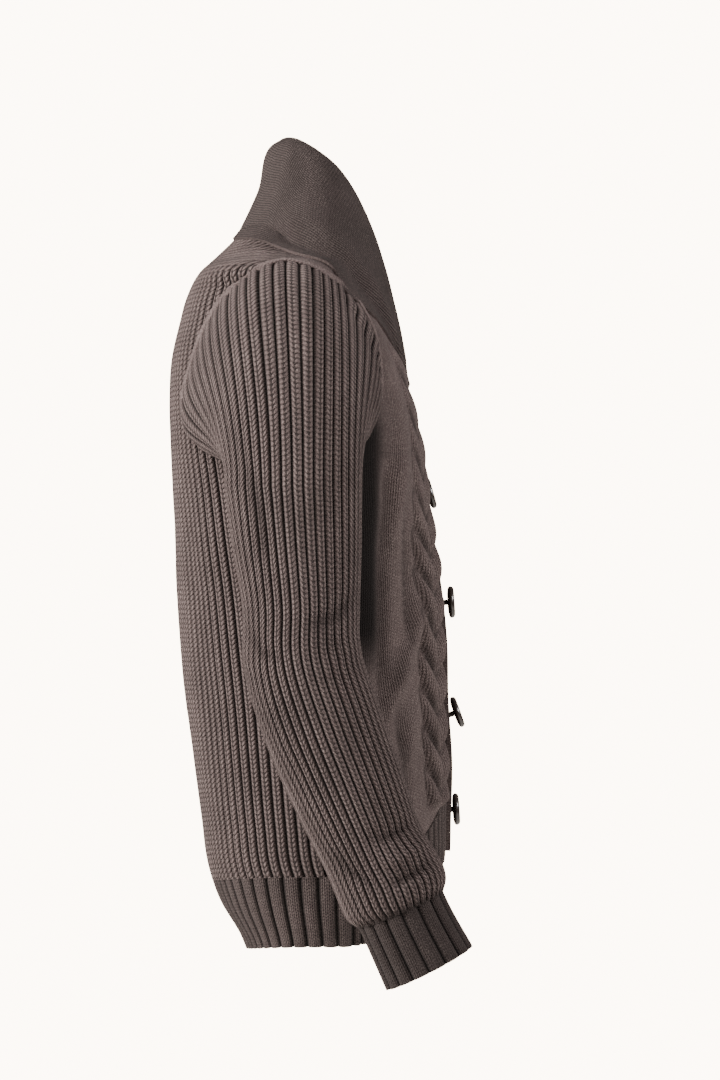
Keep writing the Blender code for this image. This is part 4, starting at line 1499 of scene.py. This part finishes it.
def collar_sections(count):
    """Points across the right side of the collar, from the nape to the break."""
    half = COLLAR_HALF_COLUMNS
    past_roll = np.clip((np.arange(2 * half) + 1 - half) / half, 0.0, 1.0)
    sections = []
    for row in by_index(COLLAR_ROWS, count):
        line = collar_line(row)
        to_roll, whole = line.keys[3], line.keys[-1]
        steps = np.concatenate([np.linspace(0.0, to_roll, half), np.linspace(to_roll, whole, half + 1)[1:]])
        sections.append(laid_on_body(line.read(steps)[:, 1:], past_roll))
    return np.array(sections)


def band_sections(side, lap, free_x):
    """The flat stretch of one front band, from just under the break to the bottom."""
    bottom = float(row_height(HEM_BOTTOM, 0.0, True))
    rows = []
    for height in np.linspace(BAND_TOP, bottom, BAND_ROW_COUNT):
        curl = smooth_step(height, *CURL_HEIGHTS)
        edge = free_x + (BREAK_EDGE - free_x) * curl
        seam = float(straight(EDGE_ROWS, 1, height)) + BAND_SEAM_GAP
        x = np.linspace(seam, edge, 2 * COLLAR_HALF_COLUMNS)
        section = section_at(height)
        power = section["front_power"]
        inward = (1 - (np.abs(x) / section["half_width"]) ** power) ** (1 / power)
        y = section["middle"] - (section["middle"] - section["front"]) * inward + centre_dip(x, section)
        rows.append(np.column_stack([side * x, y - lap, np.full(len(x), height)]))
    return np.array(rows)


SIDES = (("right", 1.0), ("left", -1.0))
FOLD_SHIFTS = {"right": (0.0, 0.0), "left": LEFT_FOLD_SHIFT}
ARM_SWINGS = {"right": 0.0, "left": LEFT_ARM_SWING}


class BuildPanels(bpy.types.Operator):
    """Knits the back and the two fronts."""

    bl_idname = "cardigan.build_panels"
    bl_label = "Back and fronts"

    def execute(self, context):
        knit = context.scene.cardigan_knit
        self.back(knit)
        right, from_edge = front_grid(panel_levels(FRONT_LEVEL_RUNS))
        for side, sign in SIDES:
            self.front(knit, right, from_edge, side, sign)
        return {"FINISHED"}

    def back(self, knit):
        grid, from_centre = back_grid(panel_levels(BACK_LEVEL_RUNS), knit.body_rib / RIB_SAMPLES)
        normals = body_normal(grid)
        behind = smooth_step(grid[..., 1], *BACK_FOLD_SIDES)
        lift, _ = fold_shape(grid[..., [0, 2]], BACK_FOLDS)
        grid = grid + normals * (lift * behind)[..., None]
        ribs = from_centre / knit.body_rib + 0.5
        down_middle = steps_down(grid)[:, grid.shape[1] // 2]
        courses = np.broadcast_to(down_middle[:, None] / knit.rib_course, ribs.shape)
        sewn = sewn_flat(grid[..., 2], from_centre[:, -1:] - np.abs(from_centre))
        piece = cloth_wall("rib_back", grid, normals, RIB_WALL, ribs, courses, relief=1.0 - sewn)
        finish_wall(piece, "chunky_rib", knit.rib_depth, THICK_RIB_ROUNDNESS, ["back"], "back")

    def front(self, knit, right, from_edge, side, sign):
        grid = on_side(right, sign)
        normals = body_normal(grid)
        lift, painted_crease_shade = fold_shape(right[..., 1:], FRONT_FOLDS, FOLD_SHIFTS[side])
        grid = grid + normals * (FRONT_FOLD_SIZE * lift)[..., None]
        from_middle = from_edge + straight(EDGE_ROWS, 1, right[..., 2])
        cable, groove = cable_shape(from_middle, right[..., 2], knit)
        # The front's painted shade: under the cable's strands and in its grooves, in its creases and under
        # the arm.
        piece = cloth_wall(
            f"plain_front_{side}",
            grid,
            normals,
            PLAIN_WALL,
            from_middle / knit.wale,
            steps_down(right) / knit.course,
            outer_lift=cable,
            hollow=np.maximum(np.maximum(groove, painted_crease_shade), under_arm_shade(right)),
        )
        finish_wall(piece, "plain_knit", 0.0, 1.0, [f"front_{side}"], "front")


class BuildHem(bpy.types.Operator):
    """Knits the hem ribs of the back and the fronts."""

    bl_idname = "cardigan.build_hem"
    bl_label = "Hem"

    def execute(self, context):
        knit = context.scene.cardigan_knit
        levels = np.linspace(HEM_BOTTOM, HEM_TOP, HEM_ROW_COUNT)
        grid, from_centre = back_grid(levels, HEM_COLUMN_STEP, fitted=True)
        ribs = from_centre / knit.hem_rib + 0.5
        self.rib(knit, "hem_back_rib", grid, ribs, "hem_back", "hem_back")
        right, from_edge = front_grid(levels, near_step=HEM_NEAR_STEP)
        ribs = from_edge * (from_edge[-1:, :1] / from_edge[:, :1]) / knit.hem_rib
        for side, sign in SIDES:
            grid = on_side(right, sign)
            self.rib(knit, f"hem_front_rib_{side}", grid, ribs, f"hem_front_{side}", "hem_front")
        return {"FINISHED"}

    def rib(self, knit, name, grid, ribs, node, cut_name):
        courses = steps_down(grid) / knit.course
        piece = cloth_wall(name, grid, body_normal(grid), RIB_WALL, ribs, courses)
        finish_wall(piece, "wide_rib", knit.hem_depth, HEM_RIB_ROUNDNESS, [node], cut_name)


class BuildSleeves(bpy.types.Operator):
    """Knits the sleeves and their cuffs."""

    bl_idname = "cardigan.build_sleeves"
    bl_label = "Sleeves and cuffs"

    def execute(self, context):
        knit = context.scene.cardigan_knit
        for side, sign in SIDES:
            self.sleeve(knit, side, sign)
            self.cuff(knit, side, sign)
        return {"FINISHED"}

    def sleeve(self, knit, side, sign):
        columns = knit.sleeve_ribs * SLEEVE_RIB_SAMPLES
        angles = 2 * math.pi * np.arange(columns) / columns
        tube = tube_rings(arm_rows(SLEEVE_ROWS, TUBE_ROW_COUNT, ARM_SWINGS[side]), angles)
        cap = sleeve_cap(armhole_loop(columns, CAP_CROWDING), angles, tube[0])
        grid = np.concatenate([cap, tube])
        normals = outward_normals(grid)
        outside = smooth_step(np.cos(angles), *SLEEVE_FOLD_SIDES)
        lift, painted_crease_shade = fold_shape(grid[..., 1:], SLEEVE_FOLDS, FOLD_SHIFTS[side])
        grid = grid + normals * (lift * outside)[..., None]
        to_end = steps_down(grid)[-1] - steps_down(grid)
        end_shade = SLEEVE_END_SHADE * (1.0 - smooth_step(to_end, 0.0, SLEEVE_END_REACH))
        # Painted shade in the sleeve's creases and at its end, where it blouses over the cuff.
        piece = cloth_wall(
            f"rib_sleeve_{side}",
            on_side(grid, sign),
            on_side(normals, sign),
            RIB_WALL,
            np.broadcast_to(np.arange(columns) / SLEEVE_RIB_SAMPLES, grid.shape[:2]),
            steps_down(grid) / -knit.rib_course,
            closed=True,
            hollow=np.maximum(painted_crease_shade * outside, end_shade),
        )
        nodes = [f"sleeve_{side}", f"forearm_{side}"]
        finish_wall(piece, "chunky_rib", knit.rib_depth, THICK_RIB_ROUNDNESS, nodes, "sleeve")

    def cuff(self, knit, side, sign):
        columns = knit.cuff_ribs * CUFF_RIB_SAMPLES
        angles = 2 * math.pi * np.arange(columns) / columns
        grid = tube_rings(arm_rows(CUFF_ROWS, CUFF_ROW_COUNT, ARM_SWINGS[side]), angles)
        # Painted shade over the whole cuff, darker still at its top under the sleeve.
        top_shade = CUFF_TOP_SHADE * (1.0 - smooth_step(steps_down(grid), *CUFF_TOP_REACH))
        piece = cloth_wall(
            f"cuff_rib_{side}",
            on_side(grid, sign),
            on_side(outward_normals(grid), sign),
            RIB_WALL,
            np.broadcast_to(np.arange(columns) / CUFF_RIB_SAMPLES, grid.shape[:2]),
            steps_down(grid) / -knit.course,
            closed=True,
            hollow=np.maximum(CUFF_SHADE, top_shade),
        )
        finish_wall(piece, "wide_rib", knit.hem_depth, CUFF_RIB_ROUNDNESS, [f"cuff_{side}"], "cuff")


class BuildCollar(bpy.types.Operator):
    """Knits the shawl collar and the button bands in one strip."""

    bl_idname = "cardigan.build_collar"
    bl_label = "Shawl collar"

    def execute(self, context):
        knit = context.scene.cardigan_knit
        collar = collar_sections(COLLAR_STATIONS)
        right = np.concatenate([collar, band_sections(-1, 0.0, -BAND_REACH)])
        left = np.concatenate([on_side(collar, -1.0), band_sections(1, BAND_LAP, -BAND_REACH)])
        grid = np.concatenate([right[::-1], left[1:]])
        normals = grid_normals(grid, closed=False)
        # At the nape the collar's fall faces back.
        nape_fall = normals[grid.shape[0] // 2, -4]
        normals = normals * np.sign(nape_fall[1])
        across = steps_across(grid)
        to_edge = across[:, -1:] - across
        height = grid[..., 2]
        wall = COLLAR_WALL + (BAND_WALL - COLLAR_WALL) * (1.0 - smooth_step(height, *BAND_WALL_HEIGHTS))
        thin = (1.0 - smooth_step(to_edge, 0.0, THIN_EDGE_WIDTH)) * smooth_step(height, *THIN_EDGE_HEIGHTS)
        wall = wall + (FALL_EDGE_WALL - wall) * thin
        ribs = to_edge / knit.fine_rib + 0.25
        piece = cloth_wall("collar_strip", grid, normals, wall, ribs, steps_down(grid) / knit.course)
        finish_wall(piece, "fine_rib", 0.0, 1.0, ["shawl_collar"], "collar")
        return {"FINISHED"}


class BuildSeams(bpy.types.Operator):
    """Sews the armholes with a smooth ridge and a row of stitches on each side of it."""

    bl_idname = "cardigan.build_seams"
    bl_label = "Seams"

    def execute(self, context):
        loop = armhole_loop(RIDGE_POINTS)
        normal = body_normal(loop)
        under = 1.0 - smooth_step(loop[:, 2], *UNDERARM_SIDE)
        ridge = loop + normal * (RIDGE_RADIUS + under * RIDGE_BESIDE_BODY)[:, None]
        across = unit(np.cross(np.roll(loop, -1, axis=0) - np.roll(loop, 1, axis=0), normal))
        wool = material_named("wool_seam")
        for side, sign in SIDES:
            piece = path_object(f"armhole_ridge_{side}", on_side(ridge, sign), closed=True)
            run_tree(piece, "seam_ridge", radius=RIDGE_RADIUS, sides=SEAM_SIDES["ridge"], material=wool)
            settle(piece, [])
            for row, way in (("upper", -1), ("lower", 1)):
                points = on_side(ridge + across * STITCH_OFFSET * way + normal * STITCH_LIFT, sign)
                outs = on_side(normal, sign)
                piece = path_object(f"armhole_stitches_{row}_{side}", points, outs, closed=True)
                run_tree(piece, "stitch_run", turn=STITCH_TURN * sign * way, material=wool, **STITCH_SIZE)
                settle(piece, [])
        return {"FINISHED"}


class BuildArmSeams(bpy.types.Operator):
    """Closes the sleeves with a smooth seam along the back of the forearm."""

    bl_idname = "cardigan.build_arm_seams"
    bl_label = "Sleeve seams"

    def execute(self, context):
        wool = material_named("wool_seam")
        for side, sign in SIDES:
            rows = arm_rows(SLEEVE_ROWS, TUBE_ROW_COUNT, ARM_SWINGS[side])[ARM_SEAM_ROWS]
            line = tube_rings(rows, np.array([ARM_SEAM_ANGLE]))[:, 0]
            out = unit(line - on_side(rows[:, :3], -1.0))
            for name, lift, radius in ARM_SEAM_LINES:
                piece = path_object(f"sleeve_seam_{name}_{side}", on_side(line + out * lift, sign))
                run_tree(piece, "seam_ridge", radius=radius, sides=SEAM_SIDES["arm"], material=wool)
                settle(piece, [])
        return {"FINISHED"}


# Columns: distance from the button's axis as a share of its radius, height as a share of its thickness.
BUTTON_PROFILE = (
    (0.00, 0.22),
    (0.30, 0.23),
    (0.50, 0.27),
    (0.62, 0.40),
    (0.72, 0.49),
    (0.84, 0.47),
    (0.94, 0.34),
    (0.99, 0.12),
    (1.00, -0.06),
    (0.95, -0.26),
    (0.82, -0.40),
    (0.55, -0.49),
    (0.00, -0.50),
)
BUTTON_SIDES = 56
BUTTON_SHARP_ANGLE = math.radians(50.0)
HOLE_SIDES = 20
THREAD_RADIUS = 0.00035
THREAD_STRANDS = (-0.0005, 0.0, 0.0005)
# Height of the sunk face that the thread lies on, as a share of the button's thickness.
THREAD_FACE = 0.26
# Columns: where the thread is along its bar, as a share of the holes' spread, and its height over the face.
THREAD_BAR = (
    (-1.0, -0.0002),
    (-0.5, 0.0007),
    (0.5, 0.0007),
    (1.0, -0.0002),
)
SHANK_TURNS = 7
SHANK_LENGTH = 0.0055
SHANK_RADIUS = 0.0023
SHANK_THREAD_RADIUS = 0.00055
COIL_STEPS = 14
THREAD_SIDES = 6


class BuildButtons(bpy.types.Operator):
    """Turns the horn buttons, drills their holes and sews them on."""

    bl_idname = "cardigan.build_buttons"
    bl_label = "Buttons"

    def execute(self, context):
        look = context.scene.cardigan_buttons
        for index, (z, y, lean) in enumerate(BUTTON_ROWS, start=1):
            turn = math.radians(lean)
            outward = Vector((0.0, -math.cos(turn), math.sin(turn)))
            upward = Vector((0.0, math.sin(turn), math.cos(turn)))
            sideways = upward.cross(outward)
            faced = Matrix((sideways, upward, outward)).transposed().to_4x4()
            place = Matrix.Translation(Vector((0.0, y, z))) @ faced
            settle(self.turned_button(f"horn_button_{index}", look, place), [f"button_{index}"])
            settle(self.sewn_thread(f"button_thread_{index}", look, place), [f"shank_{index}"])
        return {"FINISHED"}

    def turned_button(self, name, look, place):
        """A dished disc with a rounded rim and four holes."""
        work = bmesh.new()
        outline = [work.verts.new((look.radius * r, 0.0, look.thickness * h)) for r, h in BUTTON_PROFILE]
        edges = [work.edges.new(pair) for pair in zip(outline, outline[1:])]
        bmesh.ops.spin(
            work,
            geom=outline + edges,
            axis=(0, 0, 1),
            cent=(0, 0, 0),
            angle=2 * math.pi,
            steps=BUTTON_SIDES,
        )
        bmesh.ops.remove_doubles(work, verts=work.verts, dist=WELD_DISTANCE)
        bmesh.ops.recalc_face_normals(work, faces=work.faces)
        button = link_object(name, finished_mesh(name, work))
        drill = self.drills(look)
        cut = button.modifiers.new("holes", "BOOLEAN")
        cut.object = drill
        cut.solver = "EXACT"
        keep_result(button)
        bpy.data.objects.remove(drill)
        button.data.transform(place)
        button.data.shade_smooth()
        button.data.set_sharp_from_angle(angle=BUTTON_SHARP_ANGLE)
        button.data.materials.clear()
        button.data.materials.append(material_named("polished_horn"))
        return button

    def drills(self, look):
        """Four round cutters through the button."""
        work = bmesh.new()
        for x in (-look.spread, look.spread):
            for y in (-look.spread, look.spread):
                made = bmesh.ops.create_cone(
                    work,
                    cap_ends=True,
                    segments=HOLE_SIDES,
                    radius1=look.hole,
                    radius2=look.hole,
                    depth=4 * look.thickness,
                )
                bmesh.ops.translate(work, verts=made["verts"], vec=(x, y, 0.0))
        drill = link_object("drills", finished_mesh("drills", work))
        drill.hide_render = True
        return drill

    def sewn_thread(self, name, look, place):
        """Thread bars over the button and a wound shank behind it."""
        work = bmesh.new()
        back = -look.thickness * 0.5
        face = look.thickness * THREAD_FACE
        for x in (-look.spread, look.spread):
            for strand in THREAD_STRANDS:
                over = [(share * look.spread, face + lift) for share, lift in THREAD_BAR]
                path = [(-look.spread, back), *over, (look.spread, back)]
                path = [Vector((x + strand, y, z)) for y, z in path]
                add_tube(work, path, THREAD_RADIUS, THREAD_SIDES)
        coil = []
        steps = SHANK_TURNS * COIL_STEPS
        for k in range(steps + 1):
            angle = 2 * math.pi * k / COIL_STEPS
            around = (SHANK_RADIUS * math.cos(angle), SHANK_RADIUS * math.sin(angle))
            coil.append(Vector((*around, back - SHANK_LENGTH * k / steps)))
        add_tube(work, coil, SHANK_THREAD_RADIUS, THREAD_SIDES)
        bmesh.ops.recalc_face_normals(work, faces=work.faces)
        mesh = finished_mesh(name, work)
        mesh.transform(place)
        mesh.shade_smooth()
        mesh.materials.append(material_named("sewing_thread"))
        return link_object(name, mesh)


def finished_mesh(name, work):
    """The plain mesh of a mesh in the making, which it frees."""
    mesh = bpy.data.meshes.new(name)
    work.to_mesh(mesh)
    work.free()
    return mesh


def add_tube(work, path, radius, sides):
    """A closed round tube along a path, added to a mesh in the making."""
    angles = [2 * math.pi * s / sides for s in range(sides)]
    rings = []
    for k, point in enumerate(path):
        ahead = path[min(k + 1, len(path) - 1)] - path[max(k - 1, 0)]
        turn = ahead.to_track_quat("Z", "X").to_matrix()
        spokes = [Vector((radius * math.cos(angle), radius * math.sin(angle), 0.0)) for angle in angles]
        rings.append([work.verts.new(point + turn @ spoke) for spoke in spokes])
    for before, after in zip(rings, rings[1:]):
        for s in range(sides):
            work.faces.new((before[s], before[(s + 1) % sides], after[(s + 1) % sides], after[s]))
    work.faces.new(rings[0][::-1])
    work.faces.new(rings[-1])


# Columns: name, place, diameter, colour. Each light is a disc turned to the garment.
LIGHTS = (
    ("key", (-1.9, 0.85, 1.30), 0.7, (1.0, 0.97, 0.95)),
    ("side", (-1.3, 2.8, 0.9), 1.2, (1.0, 0.98, 0.95)),
    ("fill", (-3.0, -1.2, 0.7), 1.6, (1.0, 0.97, 0.96)),
    ("rim", (-1.0, -2.7, 0.9), 1.0, (1.0, 0.98, 0.97)),
)
LIGHT_AIM = Vector((0.0, 0.0, -0.30))
FLOOR_SIDES = 96
FLOOR_COLOUR = (0.86, 0.84, 0.80, 1.0)
FLOOR_GLOW_COLOUR = (1.0, 0.95, 0.88, 1.0)
BACKDROP_STRENGTH = 12.0
ROOM_LIGHT = (1.0, 0.985, 0.96, 1.0)
ROOM_STRENGTH = 0.13
CAMERA_PLACE = (-3.6, -0.060, -0.285)
CAMERA_TURN = (math.radians(90.0), 0.0, math.radians(-90.0))
CAMERA_LENS = 120.0
CAMERA_SENSOR = 36.0
CAMERA_REACH = 60.0


class BuildStage(bpy.types.Operator):
    """Sets the floor, the lights, the backdrop and the camera."""

    bl_idname = "cardigan.build_stage"
    bl_label = "Stage"

    def execute(self, context):
        look = context.scene.cardigan_stage
        self.floor(look)
        self.lights(look)
        self.world(look)
        self.camera()
        return {"FINISHED"}

    def floor(self, look):
        work = bmesh.new()
        bmesh.ops.create_circle(work, cap_ends=True, segments=FLOOR_SIDES, radius=look.floor_radius)
        bmesh.ops.translate(work, verts=work.verts, vec=(0.0, 0.0, look.floor_height))
        floor = link_object("floor", finished_mesh("floor", work))
        material, tree, shader = new_material("pale_floor")
        shader["Base Color"].default_value = FLOOR_COLOUR
        shader["Roughness"].default_value = 0.85
        shader["Emission Color"].default_value = FLOOR_GLOW_COLOUR
        rays = tree.nodes.new("ShaderNodeLightPath")
        glow = math_node(tree, "MULTIPLY", rays.outputs["Is Camera Ray"], look.floor_glow)
        feed(tree, shader["Emission Strength"], glow)
        floor.data.materials.append(material)

    def lights(self, look):
        for name, place, size, colour in LIGHTS:
            light = bpy.data.lights.new(name, "AREA")
            light.shape = "DISK"
            light.size = size
            light.energy = getattr(look, f"{name}_power")
            light.color = colour
            lamp = link_object(name, light)
            lamp.location = place
            aim = LIGHT_AIM - Vector(place)
            lamp.rotation_euler = aim.to_track_quat("-Z", "Y").to_euler()

    def world(self, look):
        """The backdrop that the camera sees, and the dim room that lights the garment."""
        world = bpy.data.worlds.new("studio")
        bpy.context.scene.world = world
        world.use_nodes = True
        tree = world.node_tree
        tree.nodes.clear()
        backdrop = {"Color": (*look.backdrop, 1.0), "Strength": BACKDROP_STRENGTH}
        seen = add_node(tree, "ShaderNodeBackground", backdrop)
        room = add_node(tree, "ShaderNodeBackground", {"Color": ROOM_LIGHT, "Strength": ROOM_STRENGTH})
        rays = tree.nodes.new("ShaderNodeLightPath")
        mix = add_node(tree, "ShaderNodeMixShader", {"Fac": rays.outputs["Is Camera Ray"]})
        feed(tree, mix.inputs[1], room.outputs["Background"])
        feed(tree, mix.inputs[2], seen.outputs["Background"])
        add_node(tree, "ShaderNodeOutputWorld", {"Surface": mix.outputs["Shader"]})

    def camera(self):
        data = bpy.data.cameras.new("camera")
        data.lens = CAMERA_LENS
        data.sensor_width = CAMERA_SENSOR
        data.clip_end = CAMERA_REACH
        camera = link_object("camera", data)
        camera.location = CAMERA_PLACE
        camera.rotation_euler = CAMERA_TURN
        bpy.context.scene.camera = camera


class CardiganPanel(bpy.types.Panel):
    """Shows the cardigan's settings and the steps that build it."""

    bl_idname = "VIEW3D_PT_cardigan"
    bl_label = "Cardigan"
    bl_space_type = "VIEW_3D"
    bl_region_type = "UI"
    bl_category = "Cardigan"

    def draw(self, context):
        for name, _ in SETTINGS:
            group = getattr(context.scene, name)
            box = self.layout.box()
            for label in group.__annotations__:
                box.prop(group, label)
        for operator in OPERATORS:
            self.layout.operator(operator.bl_idname)


OPERATORS = (
    BuildStage,
    BuildPanels,
    BuildHem,
    BuildSleeves,
    BuildCollar,
    BuildSeams,
    BuildArmSeams,
    BuildButtons,
)
SETTINGS = (
    ("cardigan_yarn", YarnSettings),
    ("cardigan_knit", KnitSettings),
    ("cardigan_buttons", ButtonSettings),
    ("cardigan_stage", StageSettings),
)


def register():
    for name, group in SETTINGS:
        bpy.utils.register_class(group)
        setattr(bpy.types.Scene, name, PointerProperty(type=group))
    for operator in OPERATORS:
        bpy.utils.register_class(operator)
    bpy.utils.register_class(CardiganPanel)


def unregister():
    bpy.utils.unregister_class(CardiganPanel)
    for operator in reversed(OPERATORS):
        bpy.utils.unregister_class(operator)
    for name, group in reversed(SETTINGS):
        delattr(bpy.types.Scene, name)
        bpy.utils.unregister_class(group)


def main():
    register()
    for operator in OPERATORS:
        group, name = operator.bl_idname.split(".")
        getattr(getattr(bpy.ops, group), name)()


if __name__ == "__main__":
    main()
